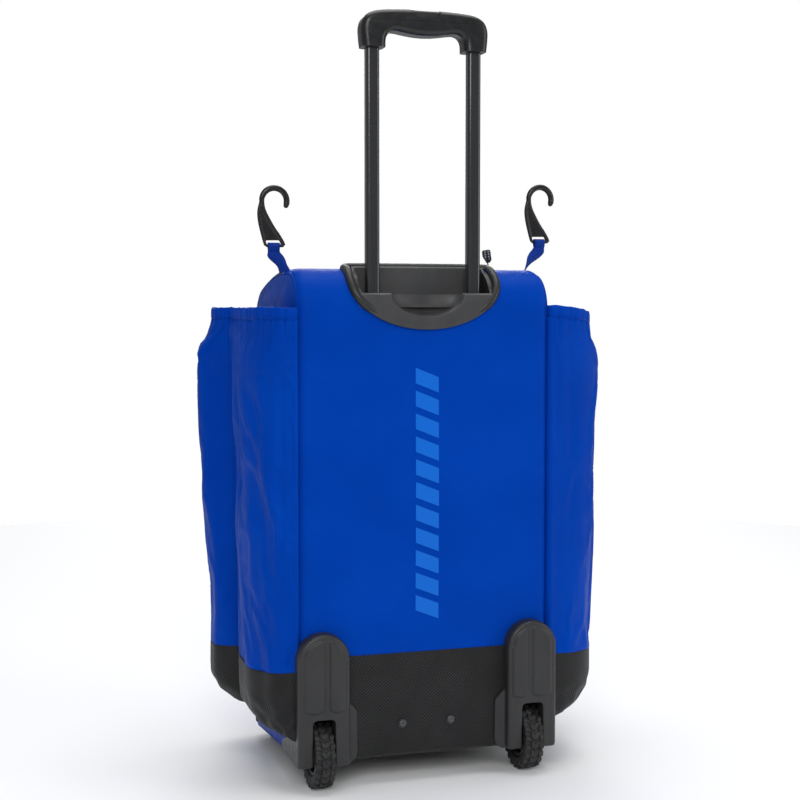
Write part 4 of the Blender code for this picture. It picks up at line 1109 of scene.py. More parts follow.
def grip():
    """A smooth moulding in two halves. Its button shows in the crown and in a half-moon at the back."""
    def crisp(middle):
        return middle.z < COLLAR_LOW_Z + 0.0004

    span = (TUBE_Y - 0.0176, TUBE_Y + 0.0176)
    whole = prism("grip_whole", grip_outline(), "y", span, "grip", 0.0095, 7, crisp)
    blank = whole.copy()
    blank.data = whole.data.copy()
    bpy.context.scene.collection.objects.link(blank)
    back = BUTTON_BACK_Y
    front = high("release_button").y
    half = BUTTON_HALF + 0.0006
    pit_floor = low("release_button").z - BUTTON_TRAVEL - 0.0014
    gap = 0.00012
    parts = (("grip_underside", COLLAR_LOW_Z - 0.01, GRIP_SPLIT_Z - gap, "grip_lower"),
             ("grip_crown", GRIP_SPLIT_Z + gap, GRIP_TOP_Z + 0.01, "grip_upper"))
    for name, bottom, top, node in parts:
        part = sliced(name, whole, "grip", bottom, top)
        pit = block("pit", (-half, back - 0.0004, pit_floor), (half, front + 0.0004, GRIP_TOP_Z + 0.01),
                    "grip", 0.0005)
        window = half_moon("window", half + 0.0006, 0.0122, (span[0] - 0.01, back + 0.0005))
        cut_by(part, pit, window)
        crease_at(part, 40)
        fit_out(part, "handle", "black_plastic", node)
    bpy.data.objects.remove(whole, do_unlink=True)

    tool = block("button_shape", (-BUTTON_HALF, back, low("release_button").z),
                 (BUTTON_HALF, front, GRIP_TOP_Z + 0.01),
                 "grip", 0.0016, 3)
    modifier(blank, "BOOLEAN", operation="INTERSECT", object=tool, solver="EXACT")
    baked(blank)
    bpy.data.objects.remove(tool, do_unlink=True)
    for vert in blank.data.vertices:
        x = vert.co.x / BUTTON_HALF
        y = (vert.co.y - (front + back) / 2) / ((front - back) / 2)
        if vert.co.z > GRIP_SPLIT_Z + 0.0060:
            vert.co.z -= 0.0004 + 0.0010 * max(0.0, 1 - x * x) * max(0.0, 1 - y * y)
    blank.name = "button_cap"
    crease_at(blank, 40)
    for place in blank.material_slots:
        place.material = LOOKS["rim"]
    fit_out(blank, "button", "black_plastic", "release_button")


def button_spring():
    """The coil under the yoke, which the button shortens by its travel."""
    near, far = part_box("button_spring")
    wire, turns, clearance = 0.0005, 5, 0.0002
    radius, height = far.x - wire, far.z - near.z
    line = []
    for angle in np.linspace(0, 2 * math.pi * turns, 20 * turns + 1):
        rise = near.z + wire + (height - 2 * wire) * angle / (2 * math.pi * turns)
        line.append(Vector((radius * math.cos(angle), TUBE_Y + radius * math.sin(angle), rise)))
    coil = fit_out(tube_along("spring_coil", line, wire, "steel", sides=8), "handle", "steel",
                   "button_spring")
    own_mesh(coil)


# ---------------------------------------------------------------- handle cup
CUP_HALF = high("handle_cup").x
CUP_RIM_Z = 0.731           # below this the rim is half an ellipse
CUP_DROP = CUP_RIM_Z - low("handle_cup").z
CUP_LIP_Z = 0.711
NEST_X = 0.098
NEST_Y = (-0.1533, -0.106)
NEST_FLOOR_Z = 0.6952
SCOOP = (0.055, 0.032)


def shoulder_shift(z):
    """How far the back has curved forward at a height."""
    rise = min(max(0.0, z - (TOP_Z - BACK_RADIUS)), BACK_RADIUS * 0.999)
    return BACK_RADIUS - math.sqrt(BACK_RADIUS**2 - rise**2)


def cup_face():
    """The plate under the nest, with a half-moon opening for the fingers."""
    start = math.degrees(math.asin((CUP_LIP_Z - CUP_RIM_Z) / CUP_DROP))
    line = arc_points((0, 0), 1.0, 180 - start, 360 + start, 56)
    outline = [((CUP_HALF - 0.0035) * x, CUP_RIM_Z + CUP_DROP * z) for x, z in line]
    outline += [(SCOOP[0] * x, CUP_LIP_Z + SCOOP[1] * z) for x, z in arc_points((0, 0), 1.0, 0, -180, 36)]
    face = prism("cup_face", outline, "y", (BACK_Y - 0.0058, BACK_Y - 0.0014), "cup", 0.0016, 3)
    for vert in face.data.vertices:
        vert.co.y += 0.75 * shoulder_shift(vert.co.z)
    return face


def scoop_bowl():
    """The hollow behind the half-moon opening."""
    rows = []
    for reach in np.linspace(1.03, 0.0, 16):
        ring = []
        for angle in np.linspace(math.pi, 2 * math.pi, 33):
            depth = 0.019 * math.sqrt(max(0.0, 1 - min(1.0, reach) ** 2))
            ring.append((SCOOP[0] * reach * math.cos(angle), BACK_Y - 0.0030 + depth,
                         CUP_LIP_Z - 0.0005 + SCOOP[1] * reach * math.sin(angle)))
        rows.append(ring)
    bowl = surface("scoop_bowl", rows, "cup", flip=True)
    return thick(bowl, 0.0018)


def nest():
    """The deep box that the grip drops into."""
    front, back = NEST_Y
    tub = block("cup_tub", (-NEST_X - 0.003, front, NEST_FLOOR_Z - 0.003),
                (NEST_X + 0.003, back + 0.003, 0.752),
                "cup")
    for vert in tub.data.vertices:
        if vert.co.z > 0.7 and vert.co.y < -0.13:
            vert.co.z = CUP_LIP_Z - 0.001
    room = block("room", (-NEST_X, front + 0.0028, NEST_FLOOR_Z), (NEST_X, back, 0.80), "cup", 0.004, 4)
    hand = block("hand", (-SCOOP[0] + 0.001, front - 0.01, 0.67), (SCOOP[0] - 0.001, front + 0.0045, 0.72),
                 "cup")
    return cut_by(tub, room, hand, beyond_cup())


def beyond_cup():
    """What lies outside the cup's outline and proud of the back, to be cut from the box."""
    inset, margin = 0.0045, 0.03
    outline = [((CUP_HALF - inset) * x, CUP_RIM_Z + (CUP_DROP - inset) * z)
               for x, z in arc_points((0, 0), 1.0, 180, 360, 48)]
    outline += [(x, z) for x, z in ((CUP_HALF + margin, CUP_RIM_Z),
                                    (CUP_HALF + margin, CUP_RIM_Z - CUP_DROP - margin),
                                    (-CUP_HALF - margin, CUP_RIM_Z - CUP_DROP - margin),
                                    (-CUP_HALF - margin, CUP_RIM_Z))]
    return prism("beyond_cup", outline, "y", (NEST_Y[0] - margin, BACK_Y + 0.0001), "cup")


def cup_arm_line():
    """Middle of the raised rim: up one side, over the shoulder, across the top and down the other side."""
    inset = 0.0068
    half = []
    for angle in np.linspace(238, 180, 12):
        a = math.radians(angle)
        x = (CUP_HALF - inset) * math.cos(a)
        z = CUP_RIM_Z + (CUP_DROP - inset) * math.sin(a)
        half.append(Vector((x, BACK_Y + shoulder_shift(z) - 0.0010, z)))
    centre = Vector((0, BACK_Y + BACK_RADIUS, TOP_Z - BACK_RADIUS))
    rise = math.asin((CUP_RIM_Z - TOP_Z + BACK_RADIUS) / BACK_RADIUS)
    for a in np.linspace(rise, math.radians(80), 8)[1:]:
        out = BACK_RADIUS + 0.0010
        half.append(Vector((-CUP_HALF + inset, centre.y - out * math.cos(a), centre.z + out * math.sin(a))))
    half.append(Vector((-CUP_HALF + inset + 0.004, -0.0995, TOP_Z + 0.0012)))
    half.append(Vector((-CUP_HALF + inset + 0.014, -0.0975, TOP_Z + 0.0016)))
    across = [Vector((x, -0.0972, TOP_Z + 0.0018)) for x in (-0.06, -0.02, 0.02, 0.06)]
    mirror = [Vector((-p.x, p.y, p.z)) for p in reversed(half)]
    return rounded_line(half + across + mirror, 4)


def handle_cup():
    """The cup of the handle, its raised rim, the cheeks beside the nest and a ferrule round each tube."""
    def width(share):
        return 0.0024 + 0.0042 * float(smoothstep(0.0, 0.10, min(share, 1 - share)))

    parts = [cup_face(), scoop_bowl(), nest()]
    cup = joined("cup", parts, "cup")
    cup.data.shade_smooth()
    crease_at(cup, 38)
    fit_out(cup, "body", "black_plastic", "handle_cup")
    rim = tube_along("cup_rim", cup_arm_line(), width, "rim", sides=20)
    fit_out(rim, "body", "black_plastic")
    cheeks = []
    for sign in SIDES.values():
        xs = sorted((sign * (NEST_X - 0.001), sign * (CUP_HALF - 0.006)))
        outline = [(BACK_Y + shoulder_shift(z) - 0.0005, z) for z in np.linspace(0.712, 0.7465, 8)]
        outline += [(-0.096, TOP_Z + 0.001), (-0.096, 0.712)]
        cheeks.append(prism("cheek", outline, "x", xs, "rim", 0.0008, 2))
    cheek = joined("cup_cheeks", cheeks, "rim")
    crease_at(cheek, 38)
    fit_out(cheek, "body", "black_plastic")
    for side, sign in SIDES.items():
        outer = rounded_section(0.0255, 0.0225, 0.006)
        inner = rounded_section(0.0210, 0.0180, 0.005)
        rows = []
        for section, z in ((outer, NEST_FLOOR_Z), (outer * 0.97, NEST_FLOOR_Z + 0.003),
                           (inner, NEST_FLOOR_Z + 0.003),
                           (inner, NEST_FLOOR_Z - 0.002)):
            ring = resampled(list(section) + [section[0]], 0.0016)[:40]
            rows.append([(x + sign * TUBE_X, y + TUBE_Y, z) for x, y in ring])
        ferrule = surface(f"ferrule_{side}", rows, "rim", closed_columns=True)
        fit_out(ferrule, "body", "black_plastic")


# ---------------------------------------------------------------- wheels and their housings
HOUSING_X = (0.120, high("wheel_housing_right").x)
HOUSING_TOP_Z = high("wheel_housing_right").z
HOUSING_BACK_Y = low("wheel_housing_right").y
WELL_X = (0.1425, 0.1755)
SLOT_TOP_Z = 0.107
WHEEL_X = (low("wheel_tyre_right").x + high("wheel_tyre_right").x) / 2
WHEEL_Y = (low("wheel_tyre_right").y + high("wheel_tyre_right").y) / 2
WHEEL_RADIUS = high("wheel_tyre_right").z / 2
TYRE_HALF = high("wheel_tyre_right").x - WHEEL_X
RIM_RADIUS = high("wheel_hub_right").z - WHEEL_RADIUS


def flipped(points, sign):
    """An outline as seen on the left or the right side."""
    return [(sign * across, up) for across, up in points]


def arch(inset, foot, steps=28):
    """Back view of the housing, drawn in by an inset."""
    radius = (HOUSING_X[1] - HOUSING_X[0]) / 2
    middle = sum(HOUSING_X) / 2
    top = arc_points((middle, HOUSING_TOP_Z - radius), radius - inset, 0, 180, steps)
    return [(HOUSING_X[0] + inset, foot), (HOUSING_X[1] - inset, foot)] + top


def pad_outline(x_low, x_high, foot):
    """A raised pad: straight sides, a foot that rounds, and a top that follows the arch."""
    radius = (HOUSING_X[1] - HOUSING_X[0]) / 2 - 0.009
    middle = sum(HOUSING_X) / 2
    height = HOUSING_TOP_Z - (HOUSING_X[1] - HOUSING_X[0]) / 2
    xs = np.linspace(x_high, x_low, 14)
    top = [(x, height + math.sqrt(max(0.0, radius**2 - (x - middle) ** 2))) for x in xs]
    sag = [(x, foot - 0.003 * math.sin(math.pi * (x - x_low) / (x_high - x_low))) for x in xs[::-1]]
    return sag + top


def wheel_housing(side, sign):
    """The hood over a wheel: a soft-edged arch with two raised pads, a wing, a skid and the wheel's well."""
    foot = BASE_BACK_Z + 0.0005
    hood = prism("hood", flipped(arch(0, foot), sign), "y", (HOUSING_BACK_Y + 0.0012, BACK_Y + 0.003),
                 "housing",
                 0.0060, 4, lambda p: p.y > BACK_Y - 0.002)
    slot = [(WELL_X[0], -0.01), (WELL_X[1], -0.01), (WELL_X[1], SLOT_TOP_Z - 0.006)]
    slot += arc_points((WELL_X[1] - 0.006, SLOT_TOP_Z - 0.006), 0.006, 0, 90, 5)
    slot += arc_points((WELL_X[0] + 0.006, SLOT_TOP_Z - 0.006), 0.006, 90, 180, 5)
    cut_by(hood, prism("slot", flipped(slot, sign), "y", (-0.20, -0.12), "housing"))
    parts = [hood]
    for x_low, x_high in ((0.1272, 0.1500), (0.1590, 0.1868)):
        outline = flipped(pad_outline(x_low, x_high, 0.1210), sign)
        parts.append(prism("pad", outline, "y", (HOUSING_BACK_Y - 0.0016, HOUSING_BACK_Y + 0.006), "housing",
                           0.0012, 2))
    wing = [(HOUSING_X[0] + 0.004, 0.1300), (HOUSING_X[0], 0.1290), (0.1055, 0.1120), (0.1050, 0.0520),
            (0.1080, 0.0440), (0.1160, foot), (HOUSING_X[0] + 0.004, foot)]
    wing = prism("wing", flipped(wing, sign), "y", (BACK_Y - 0.0075, BACK_Y + 0.001), "housing", 0.0012, 2)
    for vert in wing.data.vertices:
        lean = (abs(vert.co.x) - 0.1050) / 0.015
        vert.co.y += 0.0045 * (1 - min(1.0, max(0.0, lean))) * (vert.co.y < BACK_Y - 0.003)
    parts.append(wing)
    skid = [(HOUSING_BACK_Y + 0.006, foot), (HOUSING_BACK_Y + 0.006, 0.150), (-0.152, 0.145), (-0.140, 0.110),
            (-0.122, 0.086), (-0.095, 0.066), (-0.062, 0.054), (-0.062, 0.040), (-0.100, 0.0375)]
    skid = [tuple(p)[:2] for p in rounded_line([(y, z, 0) for y, z in skid + skid[:1]], 3)][:-1]
    span = sorted((sign * (HALF_WIDTH - 0.001), sign * (HOUSING_X[1] - 0.0004)))
    parts.append(prism("skid", skid, "x", span, "housing", 0.0016, 2))
    wall = 0.0030
    well_span = sorted((sign * (WELL_X[0] - wall), sign * (WELL_X[1] + wall)))
    front_y = WHEEL_Y + 0.0555 + wall
    well = block("well", (well_span[0], BACK_Y - 0.004, BASE_BACK_Z + 0.001), (well_span[1], front_y, 0.1115),
                 "housing",
                 0.003)
    for vert in well.data.vertices:
        if vert.co.z < BASE_BACK_Z + 0.006:
            vert.co.z += base_z(vert.co.y) - BASE_BACK_Z - 0.0006
    room_span = sorted((sign * WELL_X[0], sign * WELL_X[1]))
    cut_by(well, block("well_room", (room_span[0], -0.19, -0.01), (room_span[1], front_y - wall, SLOT_TOP_Z),
                       "housing",
                       0.006, 4))
    parts.append(well)
    obj = moulded(f"wheel_guard_{side}", parts, "housing", 0.0012, 3)
    return fit_out(obj, "body", "black_plastic", f"wheel_housing_{side}")


def tread(angle, x):
    """Height of the tyre's knobs, 0 to 1, at an angle and a distance from its middle."""
    blocks = 22
    turn = angle * blocks / (2 * math.pi)
    side = abs(x) / TYRE_HALF

    def knob(phase, start, stop):
        part = phase % 1.0
        return float(smoothstep(start, start + 0.10, part) * (1 - smoothstep(stop - 0.10, stop, part)))

    centre = knob(turn + 0.9 * side, 0.06, 0.80) * float(1 - smoothstep(0.34, 0.42, side))
    shoulder = knob(turn + 0.5 + 0.5 * side, 0.04, 0.66) * float(smoothstep(0.46, 0.54, side))
    return max(centre, shoulder)


def tyre(side, sign):
    """A knobbly tyre: chevron blocks round the middle and lugs over the shoulders."""
    base = WHEEL_RADIUS - 0.0028
    half = TYRE_HALF - 0.0006
    crown = [(base * 0.985 + 0.0007 * math.cos(math.pi * x / 2), half * 0.92 * x)
             for x in np.linspace(-1, 1, 31)]
    left = [(RIM_RADIUS + 0.0004, -0.0100), (0.0345, -0.0128), (0.0380, -half), (0.0425, -half),
            (0.0452, -half * 0.98)]
    right = [(r, -x) for r, x in reversed(left)]
    section = left + crown + right + [(RIM_RADIUS + 0.0004, 0.004), (RIM_RADIUS + 0.0004, -0.004)]
    rows = []
    for angle in np.linspace(0, 2 * math.pi, 264, endpoint=False):
        ring = []
        for radius, x in section:
            height = tread(angle, x) * float(smoothstep(0.0400, 0.0450, radius))
            reach = radius + 0.0030 * height * float(smoothstep(0.043, 0.0462, radius))
            out = x + math.copysign(0.0006, x) * height * float(abs(x) > half * 0.8)
            reach = min(reach, WHEEL_RADIUS - 0.00005)
            ring.append((sign * WHEEL_X + out, WHEEL_Y + reach * math.cos(angle),
                         WHEEL_RADIUS + reach * math.sin(angle)))
        rows.append(ring)
    obj = surface(f"tyre_{side}", rows, "tyre", closed_rows=True, closed_columns=True, uv=False)
    crease_at(obj, 50)
    capped(obj)
    return fit_out(obj, f"wheel_{side}", "tyre", f"wheel_tyre_{side}")


def turned(name, profile, centre, axis, look, steps=48, closed=True):
    """A profile of (radius, distance along the axis) turned about an axis through a point."""
    first, second = {"x": ((0, 1, 0), (0, 0, 1)), "y": ((0, 0, 1), (1, 0, 0)),
                     "z": ((1, 0, 0), (0, 1, 0))}[axis]
    along = Vector(first).cross(Vector(second))
    rows = []
    for angle in np.linspace(0, 2 * math.pi, steps, endpoint=False):
        spoke = Vector(first) * math.cos(angle) + Vector(second) * math.sin(angle)
        rows.append([Vector(centre) + spoke * radius + along * place for radius, place in profile])
    obj = surface(name, rows, look, closed_rows=True, closed_columns=closed, uv=False)
    capped(obj)
    crease_at(obj, 40)
    return obj


def hub(side, sign):
    """A moulded hub: rim, boss and six spokes."""
    centre = (sign * WHEEL_X, WHEEL_Y, WHEEL_RADIUS)
    inner = RIM_RADIUS
    rim = [(inner, 0.0108), (inner, -0.0108), (0.0285, -0.0112), (0.0268, -0.0100), (0.0262, -0.004),
           (0.0262, 0.004),
           (0.0268, 0.0100), (0.0285, 0.0112)]
    boss = [(0.0160, 0.0122), (0.0168, 0.0110), (0.0168, -0.0110), (0.0160, -0.0122), (0.0116, -0.0122),
            (0.0116, 0.0122)]
    parts = [turned("rim", rim, centre, "x", "hub", 60), turned("boss", boss, centre, "x", "hub", 40)]
    for k in range(6):
        angle = 2 * math.pi * k / 6
        spoke = [(0.0150, -0.0034), (0.0270, -0.0022), (0.0270, 0.0022), (0.0150, 0.0034)]
        turned_spoke = [(WHEEL_Y + a * math.cos(angle) - b * math.sin(angle),
                         WHEEL_RADIUS + a * math.sin(angle) + b * math.cos(angle)) for a, b in spoke]
        xs = (sign * WHEEL_X - 0.0075, sign * WHEEL_X + 0.0075)
        parts.append(prism("spoke", turned_spoke, "x", xs, "hub", 0.0008, 2))
    obj = joined(f"hub_{side}", parts, "hub")
    crease_at(obj, 40)
    return fit_out(obj, f"wheel_{side}", "black_plastic", f"wheel_hub_{side}")


def bolt(side):
    """A domed bolt head with a hexagon socket, on its washer."""
    near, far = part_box(f"bracket_bolt_{side}")
    x, z = (near.x + far.x) / 2, (near.z + far.z) / 2
    radius = (far.x - near.x) / 2
    profile = [(0.0, -0.0028), (0.30, -0.0028), (0.42, -0.0033), (0.62, -0.0031), (0.80, -0.0025),
               (0.90, -0.0016),
               (0.92, -0.0009), (1.0, -0.0008), (1.02, -0.0002), (1.0, 0.0006), (0.46, 0.0006),
               (0.46, 0.0200),
               (0.40, 0.0218), (0.0, 0.0218)]
    profile = [(max(0.00005, r * radius), y) for r, y in profile]
    obj = turned(f"back_bolt_{side}", profile, (x, BACK_Y, z), "y", "bolt", 36, closed=False)
    return fit_out(obj, "body", "steel", f"bracket_bolt_{side}")


# ---------------------------------------------------------------- fence hooks and their straps
STRAP_Y = (low("hook_strap_right").y + high("hook_strap_right").y) / 2
STRAP_FOOT_Z = low("hook_strap_right").z


def hook_bar(side):
    """Middle of the bar at the foot of a hook, from the box of the CAD hook."""
    near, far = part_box(f"fence_hook_{side}")
    return Vector(((near.x + far.x) / 2 + 0.0024, STRAP_Y, near.z + 0.0025))


def hook(side):
    """A J hook: a round rod that flares into a webbed wedge with a slot for the strap."""
    origin = hook_bar(side)

    def place(points):
        return [origin + Vector((x, 0, z)) for x, z in points]

    curl = arc_points((-0.0025, 0.065), 0.0185, -20, 176, 22)
    curl += [(-0.0205, 0.0590), (-0.0180, 0.0500), (-0.0128, 0.0395), (-0.0045, 0.0255), (0.0034, 0.0145),
             (0.0092, 0.0050), (0.0110, 0.0)]
    line = rounded_line(place(curl), 3)

    def rod_radius(share):
        tip = 0.75 + 0.25 * min(1.0, share / 0.015)
        return (0.0045 - 0.0014 * float(smoothstep(0.55, 1.0, share))) * tip

    rod = tube_along("rod", line, rod_radius, "hook", sides=16)
    tip = turned("tip", [(0.00005, -0.0042), (0.0024, -0.0034), (0.0036, -0.0018), (0.0041, 0.0),
                         (0.00005, 0.001)],
                 line[0], "z", "hook", 20, closed=False)
    left = [(-0.0212, 0.0640), (-0.0238, 0.0560), (-0.0252, 0.0460), (-0.0240, 0.0330), (-0.0205, 0.0175),
            (-0.0172, 0.0050), (-0.0153, 0.0)]
    rib = tube_along("rib", rounded_line(place(left), 4), lambda s: 0.0030 - 0.0008 * s, "hook", sides=12)
    web = [(-0.0215, 0.0600), (-0.0180, 0.0500), (-0.0125, 0.0392), (-0.0045, 0.0255), (0.0034, 0.0145),
           (0.0072, 0.0078),
           (-0.0176, 0.0074), (-0.0205, 0.0175), (-0.0240, 0.0330), (-0.0250, 0.0460)]
    web = [(origin.x + x, origin.z + z) for x, z in web]
    plate = prism("web", web, "y", (STRAP_Y - 0.0012, STRAP_Y + 0.0012), "hook", 0.0004, 1)
    bar = tube_along("bar", place([(-0.0153, 0.0), (0.0110, 0.0)]), 0.0023, "hook", sides=12)
    obj = moulded(f"hook_{side}", [rod, tip, rib, plate, bar], "hook", 0.0006, 8)
    return fit_out(obj, f"hook_{side}", "black_plastic", f"fence_hook_{side}")


def strap(side, sign, foot_turn):
    """The strap of a hook: out of the seam, twisting as it rises, and round the hook's bar."""
    bar = hook_bar(side) + Vector((-0.0037, 0, 0))
    foot = Vector((sign * (HALF_WIDTH - 0.006), STRAP_Y, STRAP_FOOT_Z - 0.009))
    neck_top = bar.z - 0.0075
    width, eye_width, depth = 0.0235, 0.0170, 0.0019
    rows = []
    for share in np.linspace(0, 1, 27):
        turn = foot_turn * (1 - float(smoothstep(0.12, 0.85, share)))
        middle = foot.lerp(Vector((bar.x, STRAP_Y - 0.0005, neck_top)), share)
        middle.x = foot.x + (bar.x - foot.x) * float(smoothstep(-0.1, 1.05, share))
        pinch = 0.80 + 0.20 * float(smoothstep(0.35, 0.7, share))
        pinch -= 0.10 * math.exp(-(((share - 0.3) / 0.18) ** 2))
        pinch -= (1 - eye_width / width) * float(smoothstep(0.75, 1.0, share))
        across = Vector((math.cos(turn), math.sin(turn), 0))
        through = Vector((-math.sin(turn), math.cos(turn), 0))
        ring = []
        for u, v in ((-1, -1), (-0.9, -1.15), (-0.5, -1.2), (0, -1.0), (0.5, -1.2), (0.9, -1.15), (1, -1),
                     (1, 1), (0.5, 1.2), (0, 1.0), (-0.5, 1.2), (-1, 1)):
            curl = 0.0014 * u * u * math.sin(math.pi * share)
            ring.append(middle + across * (u * width / 2 * pinch) + through * (v * depth / 2 + curl))
        rows.append(ring)
    neck = surface("neck", rows, "webbing", closed_columns=True)
    loop = [(-0.0012, -0.0080)]
    loop += [(0.0038 * math.cos(a), 0.0038 * math.sin(a)) for a in np.radians(np.linspace(215, -35, 14))]
    loop.append((0.0008, -0.0085))
    path = rounded_line([bar + Vector((0, y, z)) for y, z in loop], 4)
    rows = []
    for i, point in enumerate(path):
        after, before = path[min(i + 1, len(path) - 1)], path[max(i - 1, 0)]
        ahead = (after - before).normalized()
        out = Vector((1, 0, 0)).cross(ahead)
        rows.append([point + Vector((u * eye_width / 2, 0, 0)) + out * v * depth * 0.4
                     for u, v in ((-1, -1), (-0.5, -1.2), (0, -1), (0.5, -1.2), (1, -1), (1, 1), (0.5, 1),
                                  (0, 1),
                                  (-0.5, 1), (-1, 1))])
    eye = surface("eye", rows, "webbing", closed_columns=True)
    obj = joined(f"strap_{side}", [capped(neck), capped(eye)], "webbing")
    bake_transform(obj)
    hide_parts(f"hook_strap_{side}")
    return obj


# ---------------------------------------------------------------- zip and front flap
ZIP_LINE_Y = low("zip_chain_flap").y - 0.00015
ZIP_ACROSS = across_of(high("zip_chain_flap").x + 0.00015)
FLAP_INSET = 0.0047         # from the middle of the zip in to the flap's cloth
TURN = 0.020                # radius of the zip's upper corners
TOOTH_PITCH = 0.0024
PULL_EYE = 0.0012           # from the end of a pull in to the middle of its eye
OUTLINE_RUN = np.concatenate([[0.0], np.cumsum(np.linalg.norm(np.diff(OUTLINE, axis=0), axis=1))])
OUTLINE_NORMALS = outward(OUTLINE, closed=True)


def run_at(y=None, z=None):
    """Distance along the outline to a y on its top, or to a z on its front."""
    if z is None:
        part = slice(TOP_INDEX, closest(OUTLINE, y=BROW_Y, after=TOP_INDEX, before=APRON_INDEX))
        return float(np.interp(y, OUTLINE[part, 0], OUTLINE_RUN[part]))
    part = slice(APRON_INDEX - 60, FRONT_FOOT_INDEX + 3)
    return float(np.interp(-z, -OUTLINE[part, 1], OUTLINE_RUN[part]))


ZIP_RUN = run_at(y=ZIP_LINE_Y)
FOOT_RUN = run_at(z=high("front_apron").z + 0.0030)


def on_body(run, across, lift=0.0):
    """Points on the body at distances along its outline and across it, lifted off the surface."""
    run, across, lift = np.broadcast_arrays(run, across, lift)
    y, z = (np.interp(run, OUTLINE_RUN, OUTLINE[:, k]) for k in (0, 1))
    up_y, up_z = (np.interp(run, OUTLINE_RUN, OUTLINE_NORMALS[:, k]) for k in (0, 1))
    x, fall = round_the_edge(across, lift)
    return np.stack([x, y - up_y * fall, z - up_z * fall], axis=-1)


def zip_line(step):
    """The zip up one side, over the top and down the other, as (run, across), and the way in to the flap."""
    half = [(FOOT_RUN, -ZIP_ACROSS)]
    for a in np.radians(np.linspace(0, 90, 14)):
        half.append((ZIP_RUN + TURN * (1 - math.sin(a)), -ZIP_ACROSS + TURN * (1 - math.cos(a))))
    line = resampled(half + [(run, -across) for run, across in reversed(half)], step)
    ahead = np.gradient(line, axis=0)
    ahead /= np.linalg.norm(ahead, axis=1)[:, None]
    return line, np.stack([ahead[:, 1], -ahead[:, 0]], axis=1)


def zip_strip(name, insets, lifts, look):
    """A strip of tape along the zip, with its columns at distances in from the line."""
    line, inward = zip_line(0.003)
    columns = [on_body(line[:, 0] + inward[:, 0] * i, line[:, 1] + inward[:, 1] * i, lift)
               for i, lift in zip(insets, lifts)]
    return surface(name, np.stack(columns, axis=1), look)


def teeth(name, places, ahead, inward, up):
    """A row of moulded teeth: small tapered blocks, each square to the line it stands on."""
    verts, faces = [], []
    for place, a, i, n in zip(places, ahead, inward, up):
        first = len(verts)
        for height, shrink in ((-0.0006, 1.0), (0.0006, 1.0), (0.0011, 0.62)):
            for p, q in ((-1, -1), (1, -1), (1, 1), (-1, 1)):
                verts.append(place + n * height + a * p * 0.00075 * shrink + i * q * 0.0015 * shrink)
        for ring in (0, 4):
            for k in range(4):
                m = (k + 1) % 4
                faces.append([first + ring + k, first + ring + m, first + ring + 4 + m, first + ring + 4 + k])
        faces.append([first + 8, first + 9, first + 10, first + 11])
    data = bpy.data.meshes.new(name)
    data.from_pydata(verts, [], faces)
    bm = bmesh.new()
    bm.from_mesh(data)
    bmesh.ops.recalc_face_normals(bm, faces=bm.faces)
    bm.to_mesh(data)
    bm.free()
    return link_mesh(name, data, "teeth")


def unit(vectors):
    """Vectors with their length made 1."""
    return vectors / np.linalg.norm(vectors, axis=1)[:, None]


def zip_teeth(name, inset, start):
    """Every other tooth of the long zip, for one of its two sides."""
    line, inward = zip_line(TOOTH_PITCH / 2)
    line, inward = line[start::2], inward[start::2]
    at = line + inward * inset
    place = on_body(at[:, 0], at[:, 1], 0.0002)
    up = unit(on_body(at[:, 0], at[:, 1], 0.0012) - place)
    further = at + inward * 0.001
    into = unit(on_body(further[:, 0], further[:, 1], 0.0002) - place)
    return teeth(name, place, np.cross(up, into), into, up)


def goes_with_flap(obj, slot, *nodes):
    """Cloth that is sewn to the body at the flap's foot and lies on the flap above it; its placing is baked
    into its mesh.
    """
    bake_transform(obj)
    if nodes:
        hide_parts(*nodes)
    return obj


def flap_lines():
    """Rows of the flap from the zip to its foot, as (run, half width of cloth)."""
    steps = np.concatenate([np.linspace(0, 0.018, 10), np.arange(0.022, 0.9, 0.006)])
    runs = [ZIP_RUN + FLAP_INSET + d for d in steps]
    runs = [r for r in runs if r < FOOT_RUN - 0.004] + [FOOT_RUN - 0.002, FOOT_RUN]
    radius = TURN - FLAP_INSET
    rows = []
    for run in runs:
        near = max(0.0, radius - (run - ZIP_RUN - FLAP_INSET))
        rows.append((run, ZIP_ACROSS - FLAP_INSET - radius + math.sqrt(max(0.0, radius**2 - near**2))))
    return rows


def flap():
    """The front of the bag, sewn along its foot and zipped round the rest, with a bound edge."""
    share = np.concatenate([np.linspace(-1, -0.93, 8), np.linspace(-0.9, 0.9, 40), np.linspace(0.93, 1, 8)])
    rows = []
    lines = flap_lines()
    for run, half in lines:
        edge = 1 - np.clip(np.abs(share), 0, 1) ** 8
        ends = min(1.0, (run - lines[0][0]) / 0.03) * min(1.0, (FOOT_RUN - run) / 0.03)
        rows.append(on_body(run, share * half, 0.0022 * edge * max(0.0, ends)))
    points = np.array(rows)
    for row in points:
        for point in row:
            swell = noise.noise(Vector((point[0] * 9, point[2] * 7, 4.0)))
            inside = min(1.0, (0.1788 - abs(point[0])) / 0.02)
            if point[1] > 0.14:
                point[1] += 0.0008 * swell * inside
    obj = surface("flap_panel", points, "blue")
    thick(obj, CLOTH, "lining")
    goes_with_flap(obj, "blue_fabric", "front_flap")
    line, inward = zip_line(0.003)
    at = line + inward * (FLAP_INSET + 0.0008)
    bound = tube_along("flap_binding", on_body(at[:, 0], at[:, 1], 0.0004), 0.0013, "blue", sides=8)
    goes_with_flap(bound, "blue_fabric")


